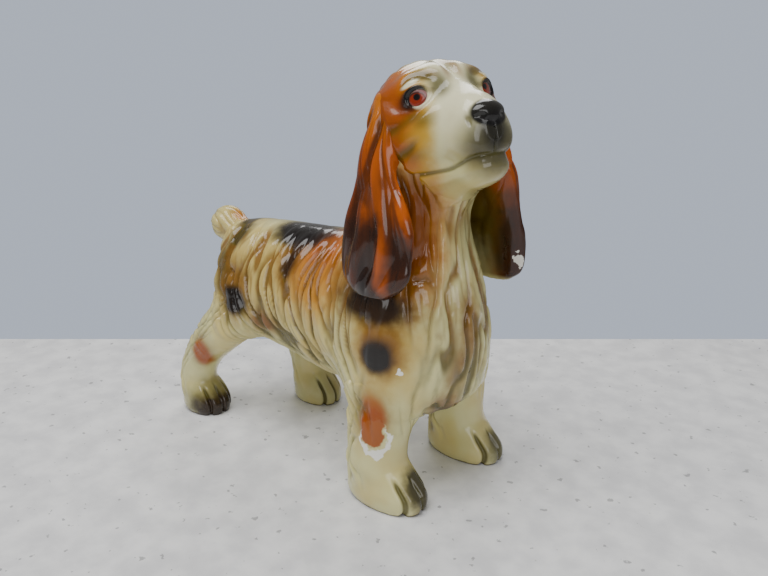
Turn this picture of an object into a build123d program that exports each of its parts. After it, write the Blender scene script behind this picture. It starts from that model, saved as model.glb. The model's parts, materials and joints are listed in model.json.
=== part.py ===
from build123d import *
import os

# Standing spaniel figurine, slip cast in nine sections that are luted together before glazing.
#
# Frame: +X is the way the dog faces, +Y its left, +Z up. The origin is on the ground, under the middle
# of the figurine's bounding box. All sizes are millimetres. Each shape table below holds shares of the
# driving dimensions, so a section follows when its dimension is changed.

# Casting
WALL = 3.5              # thickness of the cast wall
LEG_VENT = 2.0          # radius of the hole pierced from the trunk into each hollow fore leg
NECK_VENT = 5.0         # radius of the hole from the neck into the hollow head
BELLY_VENT = 2.5        # radius of the open hole under the belly

# Trunk
BACK_HEIGHT = 107.0     # ground to the line of the back
BELLY_HEIGHT = 38.0     # ground to the underside, at the deepest part of the chest
BARREL_LENGTH = 117.0   # axis of the chest back to the end of the rump
BARREL_WIDTH = 53.0     # across the ribs
CHEST_WIDTH = 68.0      # across the shoulders
CHEST_DEPTH = 67.0      # front of the chest back to the withers
NECK_WIDTH = 39.0       # across the neck under the jaw
NECK_RISE = 39.0        # top of the back up to where the neck ends inside the head

# Head
EYE_RISE = 21.0         # end of the neck up to the line of the eyes
EYE_AHEAD = 15.0        # axis of the chest forward to the eyes
EYE_SHIFT = -2.0        # middle of the eyes to the dog's left of its middle
SKULL_LENGTH = 37.0     # eyes back to the nape
SKULL_WIDTH = 47.0
SKULL_DEPTH = 41.0
MUZZLE_LENGTH = 27.5    # eyes forward to the tip of the nose
MUZZLE_WIDTH = 24.0     # across the lips
MUZZLE_DEPTH = 33.0     # bridge of the nose to the underside of the jaw
HEAD_TURN = -24.0       # degrees, towards the dog's right
HEAD_LIFT = 13.0        # degrees, nose up
HEAD_ROLL = 4.0         # degrees, left side up

# Ears
EAR_LENGTH = 73.0       # root to tip
EAR_WIDTH = 37.0        # at the widest part of the flap
EAR_THICKNESS = 8.5     # of the flap
EAR_SPLAY = 9.4         # how far the tip hangs out from the root
EAR_DRIFT = 2.5         # how far the middle of the flap hangs ahead of the root
EAR_SWING = 3.5         # how much more the right one does, and less the left, as the head is turned
EAR_BACK = 6.5          # root behind the line of the eyes
EAR_SINK = 2.0          # root inside the side of the skull, and below the line of the eyes

# Legs
PAW_HEIGHT = 18.0       # ground to the wrist or the foot of the hock
FORE_STANCE = 54.0      # between the middles of the fore paws
FORE_AHEAD = 5.5        # middle of the right fore paw ahead of the axis of the chest
FORE_STAGGER = 5.0      # how far the left fore paw leads
HIND_STANCE = 46.0      # between the middles of the hind paws
HIND_AHEAD = 33.0       # middle of the left hind paw ahead of the end of the rump
HIND_STRETCH = 39.0     # how far the right hind paw is set back from the left
HIP_AHEAD = 24.0        # top of a thigh ahead of the end of the rump
FORE_PAW_LENGTH = 40.0
FORE_PAW_WIDTH = 24.0
HIND_PAW_LENGTH = 29.0
HIND_PAW_WIDTH = 22.0
FORELEG_WIDTH = 24.0
HINDLEG_WIDTH = 18.0
WRIST_BACK = 5.0        # a leg's own axis behind the middle of its paw
SHOULDER_TUCK = 26.0    # how far a fore leg runs up past the line of the belly
HIP_TUCK = 32.0         # how far a hind leg does

# Tail
TAIL_LENGTH = 28.0      # root to tip
TAIL_RADIUS = 8.8       # of the rounded end
TAIL_RISE = 18.0        # degrees above level
TAIL_SEAT = 0.64        # its root up the rump, as a share from the rump's middle to its top

# Barrel, from the rump forward: place along the length, rise of the middle, half width, half depth
BARREL_SHAPE = [
    (-0.01, 0.17, 0.34, 0.29),
    (0.025, 0.16, 0.64, 0.52),
    (0.11, 0.12, 0.85, 0.75),
    (0.25, 0.07, 0.96, 0.86),
    (0.46, 0.03, 1.0, 0.94),
    (0.66, 0.0, 1.1, 1.0),
    (0.85, 0.015, 1.15, 1.0),
    (1.0, 0.03, 1.1, 0.92),
]
# Chest, from the belly up: place up to the back, how far forward, half depth, half width
CHEST_SHAPE = [
    (0.0, 0.15, 0.36, 0.47),
    (0.06, 0.12, 0.66, 0.71),
    (0.22, 0.03, 0.9, 0.91),
    (0.43, -0.015, 1.0, 0.98),
    (0.62, -0.03, 0.98, 0.94),
    (0.83, 0.0, 0.84, 0.84),
]
# Neck, from the back up: place up to its end, how far forward, half depth, half width
NECK_SHAPE = [
    (0.05, 0.08, 1.15, 1.2),
    (0.38, 0.15, 1.0, 1.05),
    (0.74, 0.2, 1.0, 1.0),
    (1.0, 0.2, 0.9, 0.95),
]
# Skull, from the nape forward, and muzzle, to the nose: place ahead of the eyes, rise, half width,
# half depth
SKULL_SHAPE = [
    (-1.0, -0.1, 0.28, 0.32),
    (-0.89, -0.12, 0.58, 0.61),
    (-0.65, -0.15, 0.88, 0.88),
    (-0.32, -0.2, 1.0, 1.0),
    (-0.03, -0.41, 0.9, 0.98),
]
MUZZLE_SHAPE = [
    (0.29, -1.08, 1.12, 1.13),
    (0.64, -1.1, 0.97, 1.03),
    (0.82, -1.13, 0.84, 0.88),
    (0.945, -1.09, 0.6, 0.7),
    (1.0, -1.03, 0.28, 0.34),
]
# Ear, from the root down: place along the length, way ahead, way out, half width, half thickness
EAR_SHAPE = [
    (-0.02, 0.0, -0.05, 0.16, 0.5),
    (0.06, 0.0, 0.0, 0.25, 0.66),
    (0.21, 0.1, 0.25, 0.36, 0.84),
    (0.33, 0.3, 0.42, 0.52, 0.94),
    (0.46, 0.75, 0.6, 0.75, 1.0),
    (0.62, 1.0, 0.8, 0.95, 1.0),
    (0.74, 1.0, 0.92, 1.0, 1.0),
    (0.86, 0.95, 0.98, 0.92, 1.0),
    (0.94, 0.8, 1.0, 0.72, 0.9),
    (1.0, 0.6, 1.0, 0.42, 0.6),
]
# Paw, from the sole up to the wrist: place up, way back to the leg's axis, half length, half width
PAW_SHAPE = [
    (0.0, 0.0, 0.92, 0.88),
    (0.22, 0.0, 1.0, 1.0),
    (0.6, 0.2, 0.93, 0.97),
]
# Legs, from the wrist or hock up: place up, way forward to the top's place, way in to it, half
# length, half width
FORELEG_SHAPE = [
    (0.0, 0.0, 0.0, 1.22, 1.0),
    (0.13, 0.0, 0.05, 1.12, 1.0),
    (0.43, 0.0, 0.2, 1.2, 1.0),
    (0.74, 0.0, 0.6, 1.2, 0.96),
    (1.0, 0.0, 1.0, 0.9, 0.7),
]
HINDLEG_SHAPE = [
    (0.0, 0.0, 0.0, 1.2, 1.0),
    (0.2, 0.12, 0.08, 1.3, 1.0),
    (0.46, 0.45, 0.2, 1.75, 1.15),
    (0.73, 0.8, 0.5, 2.0, 1.1),
    (1.0, 1.0, 1.0, 1.7, 0.8),
]
# Tail, from the root out: place along the length, radius
TAIL_SHAPE = [(0.0, 0.66), (0.3, 0.7), (0.5, 0.9), (0.7, 1.0), (0.88, 0.82), (1.0, 0.38)]


def between(start, end, share):
    """The value a share of the way from start to end."""
    return start + (end - start) * share


def eased(sections, steps=2):
    """Sections with others added between them on smooth curves, so that a ruled loft looks rounded.

    Each number of a section is taken as a curve over the first one, with the slope at a section that
    of the line between its two neighbours.
    """
    last = len(sections) - 1
    slopes = []
    for i in range(last + 1):
        before, after = sections[max(i - 1, 0)], sections[min(i + 1, last)]
        slopes.append([(b - a) / (after[0] - before[0]) for a, b in zip(before, after)])
    added = []
    for i in range(last):
        run = sections[i + 1][0] - sections[i][0]
        for step in range(steps):
            t = step / steps
            ease = t * t * (3 - 2 * t)
            leave, arrive = run * t * (1 - t) ** 2, run * t * t * (t - 1)
            added.append(tuple(
                between(a, b, ease) + leave * slope_a + arrive * slope_b
                for a, b, slope_a, slope_b in zip(sections[i], sections[i + 1], slopes[i], slopes[i + 1])
            ))
    return added + [sections[last]]


def column(sections, inset=0.0, ruled=False):
    """Loft through level ellipses, each (height, x, y, half length in X, half width in Y)."""
    return loft([Pos(x, y, z) * Ellipse(a - inset, b - inset) for z, x, y, a, b in sections], ruled=ruled)


def barrel(sections, inset=0.0):
    """Loft through upright ellipses square to X, each (x, height of centre, half width, half height)."""
    return loft([
        Plane(origin=(x, 0, z), x_dir=(0, 1, 0), z_dir=(1, 0, 0)) * Ellipse(a - inset, b - inset)
        for x, z, a, b in sections
    ])


def hollow_of(sections, back=0.0, front=0.0):
    """A barrel's hollow: the same sections inset, with the closed ends drawn in by the wall."""
    ends = {0: back, 1: back, 2: back / 2, len(sections) - 2: -front / 2, len(sections) - 1: -front}
    return barrel([(x + ends.get(i, 0), z, a, b) for i, (x, z, a, b) in enumerate(sections)], WALL)


def above(height, solid):
    """The part of a solid that lies above a level."""
    size = solid.bounding_box().diagonal * 2
    return solid & Pos(0, 0, height + size / 2) * Box(size, size, size)


# Trunk: the barrel runs back from the chest, and the chest rises into the neck. X is measured from
# the axis of the chest until the finished pieces are moved.
rump_x = -BARREL_LENGTH
mid_z = (BACK_HEIGHT + BELLY_HEIGHT) / 2
half_deep = (BACK_HEIGHT - BELLY_HEIGHT) / 2
half_wide = BARREL_WIDTH / 2
chest_front = CHEST_DEPTH / 2
chest_side = CHEST_WIDTH / 2
neck = NECK_WIDTH / 2
neck_end = BACK_HEIGHT + NECK_RISE
neck_x = neck * NECK_SHAPE[-1][1]

barrel_sections = [
    (between(rump_x, 0, place), mid_z + rise * half_deep, wide * half_wide, deep * half_deep)
    for place, rise, wide, deep in BARREL_SHAPE
]
chest_sections = [
    (between(BELLY_HEIGHT, BACK_HEIGHT, up), ahead * chest_front, 0, deep * chest_front, wide * chest_side)
    for up, ahead, deep, wide in CHEST_SHAPE
] + [
    (between(BACK_HEIGHT, neck_end, up), ahead * neck, 0, deep * neck, wide * neck)
    for up, ahead, deep, wide in NECK_SHAPE
]
trunk_outer = barrel(barrel_sections) + column(chest_sections)
trunk_hollow = above(
    BELLY_HEIGHT + WALL,
    hollow_of(barrel_sections, back=1.3 * WALL) + column(chest_sections, WALL),
)

# Head, in its own frame: origin between the eyes, +X along the muzzle, +Z up through the skull.
head_frame = (
    Pos(EYE_AHEAD, EYE_SHIFT, neck_end + EYE_RISE)
    * Rot(0, 0, HEAD_TURN) * Rot(0, -HEAD_LIFT, 0) * Rot(HEAD_ROLL, 0, 0)
)


def head_sections(shape, length, width, depth):
    """Upright sections of the skull or the muzzle from its shape table and its own three sizes."""
    return [
        (place * length, rise * depth / 2, wide * width / 2, deep * depth / 2)
        for place, rise, wide, deep in shape
    ]


skull_to_nose = (
    head_sections(SKULL_SHAPE, SKULL_LENGTH, SKULL_WIDTH, SKULL_DEPTH)
    + head_sections(MUZZLE_SHAPE, MUZZLE_LENGTH, MUZZLE_WIDTH, MUZZLE_DEPTH)
)
head_outer = head_frame * barrel(skull_to_nose)
head_hollow = head_frame * hollow_of(skull_to_nose[:-1], back=WALL, front=WALL)
neck_hole = Pos(neck_x, 0, neck_end - WALL) * Cylinder(NECK_VENT, 6 * WALL)
head = head_outer - head_hollow - neck_hole


def leg(paw_at, paw_size, top_at, top_rise, stout, shape, hollow):
    """A leg with a flat sole, either solid or hollow and open where its top is luted to the trunk.

    paw_at and top_at are the places (x, y) of the paw's middle and the leg's top, and paw_size is the
    paw's length and width. The leg's own axis starts behind the middle of the paw.
    """
    axis_x = paw_at[0] - WRIST_BACK
    length, width = paw_size
    sections = [
        (up * PAW_HEIGHT, between(paw_at[0], axis_x, back), paw_at[1], long * length / 2, wide * width / 2)
        for up, back, long, wide in PAW_SHAPE
    ] + [
        (
            between(PAW_HEIGHT, BELLY_HEIGHT + top_rise, up),
            between(axis_x, top_at[0], ahead),
            between(paw_at[1], top_at[1], inward),
            long * stout / 2,
            wide * stout / 2,
        )
        for up, ahead, inward, long, wide in shape
    ]
    limb = column(eased(sections), ruled=True) - trunk_outer
    return limb - above(WALL, column(eased(sections), WALL, ruled=True)) if hollow else limb


def foreleg(paw_x, side):
    """A fore leg: hollow, with a long paw, stout and straight, leaning in under the shoulder."""
    return leg(
        (paw_x, side * FORE_STANCE / 2), (FORE_PAW_LENGTH, FORE_PAW_WIDTH),
        (paw_x - WRIST_BACK, side * chest_side / 2), SHOULDER_TUCK, FORELEG_WIDTH, FORELEG_SHAPE, True,
    )


def hindleg(paw_x, side):
    """A hind leg: slim, so cast solid, with a short paw and a thigh that slopes forward to the hip."""
    return leg(
        (paw_x, side * HIND_STANCE / 2), (HIND_PAW_LENGTH, HIND_PAW_WIDTH),
        (rump_x + HIP_AHEAD, side * half_wide / 2), HIP_TUCK, HINDLEG_WIDTH, HINDLEG_SHAPE, False,
    )


RIGHT, LEFT = -1, 1
legs = {
    "foreleg_right": foreleg(FORE_AHEAD, RIGHT),
    "foreleg_left": foreleg(FORE_AHEAD + FORE_STAGGER, LEFT),
    "hindleg_right": hindleg(rump_x + HIND_AHEAD - HIND_STRETCH, RIGHT),
    "hindleg_left": hindleg(rump_x + HIND_AHEAD, LEFT),
}


def ear(side):
    """A solid flap that hangs from the side of the skull, trimmed where it meets the head and trunk."""
    root = head_frame * Pos(-EAR_BACK, side * (SKULL_WIDTH / 2 - EAR_SINK), -EAR_SINK)
    drift = EAR_DRIFT - side * EAR_SWING
    flap = [
        Pos(root.position) * Pos(drift * ahead, side * EAR_SPLAY * out, -EAR_LENGTH * place)
        * Ellipse(wide * EAR_WIDTH / 2, thick * EAR_THICKNESS / 2)
        for place, ahead, out, wide, thick in eased(EAR_SHAPE)
    ]
    return loft(flap, ruled=True) - head_outer - trunk_outer


# Tail: a rounded stub set into the top of the rump.
rump_place, rump_rise, _, rump_depth = BARREL_SHAPE[2]
tail_z = mid_z + (rump_rise + TAIL_SEAT * rump_depth) * half_deep
tail_root = Pos(between(rump_x, 0, rump_place), 0, tail_z)
tail_outer = tail_root * Rot(0, TAIL_RISE - 90, 0) * loft(
    [Pos(0, 0, TAIL_LENGTH * place) * Circle(TAIL_RADIUS * radius) for place, radius in eased(TAIL_SHAPE)],
    ruled=True,
)


def leg_hole(paw_x, side):
    """An upright drill from a fore leg's hollow, through the trunk's wall above it, into the trunk."""
    leg_y = between(FORE_STANCE / 2, chest_side / 2, FORELEG_SHAPE[2][2])
    middle = Pos(paw_x - WRIST_BACK, side * (leg_y - LEG_VENT), BELLY_HEIGHT + 4 * WALL)
    return middle * Cylinder(LEG_VENT, 7 * WALL)


belly_hole = Pos(rump_x * 0.6, 0, BELLY_HEIGHT) * Cylinder(BELLY_VENT, 6 * WALL)
torso = (
    trunk_outer - trunk_hollow - head_outer - belly_hole
    - leg_hole(FORE_AHEAD, RIGHT) - leg_hole(FORE_AHEAD + FORE_STAGGER, LEFT)
)

pieces = {
    "torso": torso,
    "head": head,
    "ear_right": ear(RIGHT),
    "ear_left": ear(LEFT),
    "tail": tail_outer - trunk_outer,
    **legs,
}

# The origin goes under the middle of the whole figurine.
extent = Compound(children=[Part() + piece for piece in pieces.values()]).bounding_box()
to_origin = Pos(-extent.center().X, -extent.center().Y, -extent.min.Z)

os.makedirs("parts", exist_ok=True)
for name, piece in pieces.items():
    export_step(to_origin * piece, f"parts/{name}.step")
print("size", extent.size, "moved by", to_origin.position)
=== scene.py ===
import json
import logging
import math
from dataclasses import dataclass
from enum import Enum
from typing import Any, Callable, Sequence

import bpy
import numpy as np
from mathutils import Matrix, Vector


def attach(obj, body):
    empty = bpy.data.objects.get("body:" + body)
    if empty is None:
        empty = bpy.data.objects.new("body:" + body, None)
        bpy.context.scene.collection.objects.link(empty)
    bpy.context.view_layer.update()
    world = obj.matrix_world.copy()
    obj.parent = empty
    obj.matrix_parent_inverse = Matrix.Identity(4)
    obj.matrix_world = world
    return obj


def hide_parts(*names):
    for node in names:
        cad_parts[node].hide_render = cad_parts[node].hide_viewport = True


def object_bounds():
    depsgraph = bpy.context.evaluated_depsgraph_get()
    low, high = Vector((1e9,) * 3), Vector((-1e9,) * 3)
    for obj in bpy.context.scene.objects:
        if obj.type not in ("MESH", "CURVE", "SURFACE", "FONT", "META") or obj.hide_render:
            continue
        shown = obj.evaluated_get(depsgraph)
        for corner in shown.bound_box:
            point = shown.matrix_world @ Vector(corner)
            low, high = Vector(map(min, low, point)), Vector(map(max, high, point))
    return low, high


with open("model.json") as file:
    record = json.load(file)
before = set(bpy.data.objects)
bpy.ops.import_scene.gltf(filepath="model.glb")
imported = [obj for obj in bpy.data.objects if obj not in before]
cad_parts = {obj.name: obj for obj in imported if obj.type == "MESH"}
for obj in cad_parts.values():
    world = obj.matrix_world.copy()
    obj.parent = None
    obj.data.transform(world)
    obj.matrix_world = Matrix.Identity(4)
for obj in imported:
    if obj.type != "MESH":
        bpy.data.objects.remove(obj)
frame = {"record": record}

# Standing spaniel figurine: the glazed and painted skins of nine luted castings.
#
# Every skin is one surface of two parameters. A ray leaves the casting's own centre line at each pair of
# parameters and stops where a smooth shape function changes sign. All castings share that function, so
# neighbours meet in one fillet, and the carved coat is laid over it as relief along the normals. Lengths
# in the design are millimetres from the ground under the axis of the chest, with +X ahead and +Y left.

LOG = logging.getLogger("spaniel")
Array = np.ndarray
Shape = Callable[[Array], Array]
CAD_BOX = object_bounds()
AHEAD, LEFT, UP = np.eye(3)
DESIGN_HEIGHT = 180.5
FORE_PAW_AHEAD = 5.5


# ---------------------------------------------------------------------------------------------------
# Where the figurine stands


@dataclass(frozen=True)
class Stand:
    """The design's place in the frame.

    Attributes:
        unit: metres to a design millimetre.
        chest_x: the axis of the chest, in design millimetres ahead of the frame's origin.
    """

    unit: float
    chest_x: float

    @classmethod
    def from_frame(cls, design_height: float, paw_ahead: float) -> "Stand":
        """Work the place out from the CAD box and from the sole under the right fore paw.

        Args:
            design_height: height of the figurine in design millimetres.
            paw_ahead: middle of the right fore paw ahead of the axis of the chest.

        Returns:
            The stand.
        """
        unit = (CAD_BOX[1].z - CAD_BOX[0].z) / design_height
        soles = {mount["name"]: mount["pos_m"] for mount in frame["record"]["mounts"]}
        return cls(unit, soles["sole_fore_right"][0] / unit - paw_ahead)

    def place(self, points: Array) -> Array:
        """Design points in the frame's metres."""
        return (points + np.array([self.chest_x, 0.0, 0.0])) * self.unit


# ---------------------------------------------------------------------------------------------------
# Curves, noise and shape functions


class Curve:
    """A smooth curve through the rows of a table, read at any place along its first column.

    Between two rows it is the cubic that meets both with the slope of the line between their outer
    neighbours. Past either end it keeps the end's value.
    """

    def __init__(self, rows: Sequence[Sequence[float]]) -> None:
        """Keep the table and work out its slopes."""
        table = np.array(rows, float)
        self.place, self.value = table[:, 0], table[:, 1:]
        after = np.minimum(np.arange(len(table)) + 1, len(table) - 1)
        before = np.maximum(np.arange(len(table)) - 1, 0)
        apart = (self.place[after] - self.place[before])[:, None]
        self.slope = (self.value[after] - self.value[before]) / apart

    def __call__(self, at: Array) -> list[Array]:
        """Each column's value at the given places."""
        at = np.clip(at, self.place[0], self.place[-1])
        row = np.clip(np.searchsorted(self.place, at, side="right") - 1, 0, len(self.place) - 2)
        run = self.place[row + 1] - self.place[row]
        t = (at - self.place[row]) / run
        ease = t * t * (3.0 - 2.0 * t)
        leave, arrive = run * t * (1.0 - t) ** 2, run * t * t * (t - 1.0)
        return [
            self.value[row, k] * (1.0 - ease) + self.value[row + 1, k] * ease
            + self.slope[row, k] * leave + self.slope[row + 1, k] * arrive
            for k in range(self.value.shape[1])
        ]


def step(low: float, high: float, value: Array) -> Array:
    """Smooth step: 0 below low, 1 above high, and 3t^2 - 2t^3 between; it falls if low is above high."""
    t = np.clip((value - low) / (high - low), 0.0, 1.0)
    return t * t * (3.0 - 2.0 * t)


def bell(value: Array, width: float) -> Array:
    """Bell curve exp(-(value / width)^2)."""
    return np.exp(-((value / width) ** 2))


def unite(first: Array, second: Array, blend: float) -> Array:
    """Smooth minimum of two shape functions: at a tie it lies a quarter of the blend below them."""
    share = np.clip(0.5 + 0.5 * (second - first) / blend, 0.0, 1.0)
    return second + (first - second) * share - blend * share * (1.0 - share)


def noise(points: Array, seed: int) -> Array:
    """Gradient noise from about -1 to 1, one unit to a cell.

    Each corner of a cell has a hashed unit gradient. The noise is the sum over the corners of the
    gradient's product with the way from the corner, eased by 6t^5 - 15t^4 + 10t^3 along each axis.

    Args:
        points: (..., 2) or (..., 3) places.
        seed: picks another pattern.

    Returns:
        One value for each place.
    """
    rng = np.random.RandomState(seed)
    shuffle = rng.permutation(256)
    gradients = rng.normal(size=(256, points.shape[-1]))
    gradients /= np.linalg.norm(gradients, axis=1, keepdims=True)
    cell = np.floor(points).astype(int)
    inside = points - cell
    ease = inside**3 * (inside * (inside * 6.0 - 15.0) + 10.0)
    total = np.zeros(points.shape[:-1])
    for corner in np.ndindex(*(2,) * points.shape[-1]):
        offset = np.array(corner)
        hashed = np.zeros(points.shape[:-1], int)
        for axis in range(points.shape[-1]):
            hashed = shuffle[(hashed + cell[..., axis] + offset[axis]) & 255]
        weight = np.prod(np.where(offset == 1, ease, 1.0 - ease), axis=-1)
        total += weight * np.einsum("...i,...i", gradients[hashed], inside - offset)
    return total * 1.6


def ellipse_depth(across: Array, up: Array, wide: Array, deep: Array) -> Array:
    """Near-true distance outside an ellipse: with q its radius in the ellipse's units, q(q - 1) / |grad|."""
    q = np.hypot(across / wide, up / deep)
    return q * (q - 1.0) / (np.hypot(across / wide**2, up / deep**2) + 1e-9)


def ball(points: Array, centre: Sequence[float], radii: Sequence[float]) -> Array:
    """Near-true distance outside an ellipsoid, in the same way as for an ellipse."""
    offset = points - np.array(centre)
    q = np.linalg.norm(offset / np.array(radii), axis=-1)
    return q * (q - 1.0) / (np.linalg.norm(offset / np.array(radii) ** 2, axis=-1) + 1e-9)


@dataclass(frozen=True)
class Loft:
    """A solid of elliptical sections across one axis, as a shape function.

    Attributes:
        rows: for each section its place, its middle's two coordinates and its two half sizes.
        axis: 0 for upright sections across X, with sizes in Y and Z, or 2 for level sections across Z,
            with sizes in X and Y.
    """

    rows: Sequence[Sequence[float]]
    axis: int

    def __call__(self, points: Array) -> Array:
        """Distance outside the side, or past an end, whichever counts."""
        first, second = ((1, 2), (0, 2), (0, 1))[self.axis]
        along = points[..., self.axis]
        mid_a, mid_b, half_a, half_b = Curve(self.rows)(along)
        side = ellipse_depth(points[..., first] - mid_a, points[..., second] - mid_b, half_a, half_b)
        past = np.maximum(self.rows[0][0] - along, along - self.rows[-1][0])
        return np.where(past > 0.0, np.hypot(np.maximum(side, 0.0), past), side)


# ---------------------------------------------------------------------------------------------------
# The design


@dataclass(frozen=True)
class Trunk:
    """Barrel, chest and neck: the sizes of the torso casting."""

    back: float = 107.0
    belly: float = 38.0
    length: float = 117.0
    half_wide: float = 26.5
    chest_front: float = 33.5
    chest_side: float = 34.0
    neck: float = 19.5
    neck_rise: float = 39.0
    blend: float = 15.0
    barrel_rows: tuple = (
        (-0.01, 0.17, 0.34, 0.29),
        (0.025, 0.16, 0.64, 0.52),
        (0.11, 0.12, 0.85, 0.75),
        (0.25, 0.07, 0.96, 0.86),
        (0.46, 0.03, 1.0, 0.94),
        (0.66, 0.0, 1.1, 1.0),
        (0.85, 0.015, 1.13, 1.0),
        (1.0, 0.03, 1.05, 0.9),
    )
    chest_rows: tuple = (
        (0.0, 0.15, 0.36, 0.47),
        (0.06, 0.12, 0.66, 0.71),
        (0.22, 0.03, 0.88, 0.89),
        (0.43, -0.015, 0.98, 0.96),
        (0.62, -0.03, 0.96, 0.92),
        (0.83, 0.0, 0.82, 0.82),
    )
    neck_rows: tuple = (
        (0.05, 0.08, 1.13, 1.17),
        (0.38, 0.15, 1.0, 1.03),
        (0.74, 0.2, 1.0, 1.0),
        (0.98, 0.22, 0.95, 0.95),
        (1.28, 0.3, 0.8, 0.8),
    )

    def shape(self) -> Shape:
        """The trunk's own shape function: barrel and chest in one smooth union."""
        middle, deep = (self.back + self.belly) / 2, (self.back - self.belly) / 2
        barrel = Loft([
            ((place - 1.0) * self.length, 0.0, middle + rise * deep, wide * self.half_wide, half * deep)
            for place, rise, wide, half in self.barrel_rows
        ], 0)
        chest = Loft([
            (self.belly + place * 2 * deep, ahead * self.chest_front, 0.0,
             half * self.chest_front, wide * self.chest_side)
            for place, ahead, half, wide in self.chest_rows
        ] + [
            (self.back + place * self.neck_rise, ahead * self.neck, 0.0, half * self.neck, wide * self.neck)
            for place, ahead, half, wide in self.neck_rows
        ], 2)
        return lambda points: unite(barrel(points), chest(points), self.blend)


@dataclass(frozen=True)
class Limb:
    """One leg: where its paw and its top are, and its sizes.

    Attributes:
        paw: middle of the sole in X and Y.
        top: place of the leg's top in X, Y and Z, inside the trunk.
        length: of the paw.
        width: of the paw.
        stout: thickness of the leg.
        rows: from the wrist up, the place, the way ahead to the top, the way in to it, half length and
            half width as shares of the thickness.
    """

    paw: tuple[float, float]
    top: tuple[float, float, float]
    length: float
    width: float
    stout: float
    rows: tuple
    wrist: float = 18.0
    set_back: float = 5.0

    def axis_rows(self) -> list[tuple[float, ...]]:
        """Sections from the sole up: height, middle in X and Y, half length and half width."""
        x, y = self.paw
        axis = x - self.set_back
        long, wide, half = self.length / 2, self.width / 2, self.stout / 2
        paw = [
            (0.0, x, y, long * 0.93, wide * 0.9),
            (self.wrist * 0.16, x, y, long * 0.99, wide * 0.99),
            (self.wrist * 0.4, x - 0.3, y, long * 0.97, wide),
            (self.wrist * 0.68, x - self.set_back * 0.45, y, long * 0.84, wide * 0.96),
        ]
        return paw + [
            (self.wrist + place * (self.top[2] - self.wrist), axis + ahead * (self.top[0] - axis),
             y + inward * (self.top[1] - y), long_share * half, wide_share * half)
            for place, ahead, inward, long_share, wide_share in self.rows
        ]

    def shape(self) -> Shape:
        """The leg's own shape function."""
        return Loft(self.axis_rows(), 2)


FORELEG_ROWS = (
    (0.0, 0.0, 0.0, 1.2, 1.0),
    (0.13, 0.0, 0.05, 1.12, 0.97),
    (0.43, 0.0, 0.2, 1.2, 1.0),
    (0.74, 0.0, 0.6, 1.2, 0.96),
    (1.0, 0.0, 1.0, 0.9, 0.7),
)
HINDLEG_ROWS = (
    (0.0, 0.0, 0.0, 1.15, 1.0),
    (0.2, 0.12, 0.08, 1.3, 1.0),
    (0.46, 0.45, 0.2, 1.75, 1.12),
    (0.73, 0.8, 0.5, 2.0, 1.08),
    (1.0, 1.0, 1.0, 1.7, 0.8),
)


@dataclass(frozen=True)
class HeadPose:
    """Where the head is and how it is turned: the head's own frame has its origin between the eyes."""

    eyes: tuple[float, float, float] = (15.0, -2.0, 167.0)
    turn: float = math.radians(-24.0)
    lift: float = math.radians(13.0)
    roll: float = math.radians(4.0)

    def axes(self) -> Array:
        """Rotation matrix whose columns are the head's own forward, left and up."""
        ct, st = math.cos(self.turn), math.sin(self.turn)
        cl, sl = math.cos(self.lift), math.sin(self.lift)
        cr, sr = math.cos(self.roll), math.sin(self.roll)
        about_z = np.array([[ct, -st, 0.0], [st, ct, 0.0], [0.0, 0.0, 1.0]])
        about_y = np.array([[cl, 0.0, -sl], [0.0, 1.0, 0.0], [sl, 0.0, cl]])
        about_x = np.array([[1.0, 0.0, 0.0], [0.0, cr, -sr], [0.0, sr, cr]])
        return about_z @ about_y @ about_x

    def to_head(self, points: Array) -> Array:
        """Design points in the head's own frame."""
        return (points - np.array(self.eyes)) @ self.axes()

    def to_design(self, points: Array) -> Array:
        """Points of the head's own frame in the design."""
        return points @ self.axes().T + np.array(self.eyes)


@dataclass(frozen=True)
class Head:
    """Skull, muzzle, jaw and brows, in the head's own frame."""

    pose: HeadPose = HeadPose()
    muzzle_rows: tuple = (
        (-8.0, 0.0, -12.0, 16.5, 14.5),
        (2.0, 0.0, -11.6, 14.2, 14.4),
        (10.0, 0.0, -11.8, 12.4, 14.0),
        (17.5, 0.0, -12.8, 11.1, 12.6),
        (22.5, 0.0, -14.0, 9.6, 10.6),
        (25.3, 0.0, -14.8, 7.0, 8.2),
        (26.8, 0.0, -15.0, 3.2, 4.0),
    )
    jaw_rows: tuple = (
        (-18.0, 0.0, -21.5, 15.0, 9.5),
        (-8.0, 0.0, -26.0, 14.2, 8.8),
        (4.0, 0.0, -28.4, 12.6, 7.8),
        (14.0, 0.0, -28.4, 10.8, 7.0),
        (20.5, 0.0, -27.6, 8.8, 6.0),
        (24.2, 0.0, -26.8, 5.6, 4.4),
        (25.6, 0.0, -26.4, 2.6, 2.2),
    )

    def shape_in_head(self, local: Array) -> Array:
        """The head's shape function for points of its own frame, the same on both sides."""
        p = local.copy()
        p[..., 1] = np.abs(p[..., 1])
        skull = ball(p, (-14.0, 0.0, -3.8), (23.6, 23.6, 20.8))
        skull = unite(skull, ball(p, (-6.5, 12.2, -13.5), (14.5, 9.6, 13.5)), 8.0)
        muzzle = Loft(self.muzzle_rows, 0)(p)
        muzzle = unite(muzzle, ball(p, (14.0, 5.4, -18.4), (11.6, 6.4, 7.2)), 4.0)
        whole = unite(skull, muzzle, 8.0)
        whole = unite(whole, ball(p, (0.0, 5.0, 6.2), (6.0, 4.6, 6.4)), 4.0)
        whole = unite(whole, ball(p, (-1.6, 11.6, 4.2), (7.6, 8.4, 7.0)), 4.0)
        whole = unite(whole, ball(p, (22.9, 0.0, -9.3), (5.0, 7.4, 4.7)), 0.8)
        jaw = Loft(self.jaw_rows, 0)(p)
        return unite(whole, jaw, 3.4)

    def shape(self) -> Shape:
        """The head's own shape function in the design."""
        return lambda points: self.shape_in_head(self.pose.to_head(points))


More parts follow.
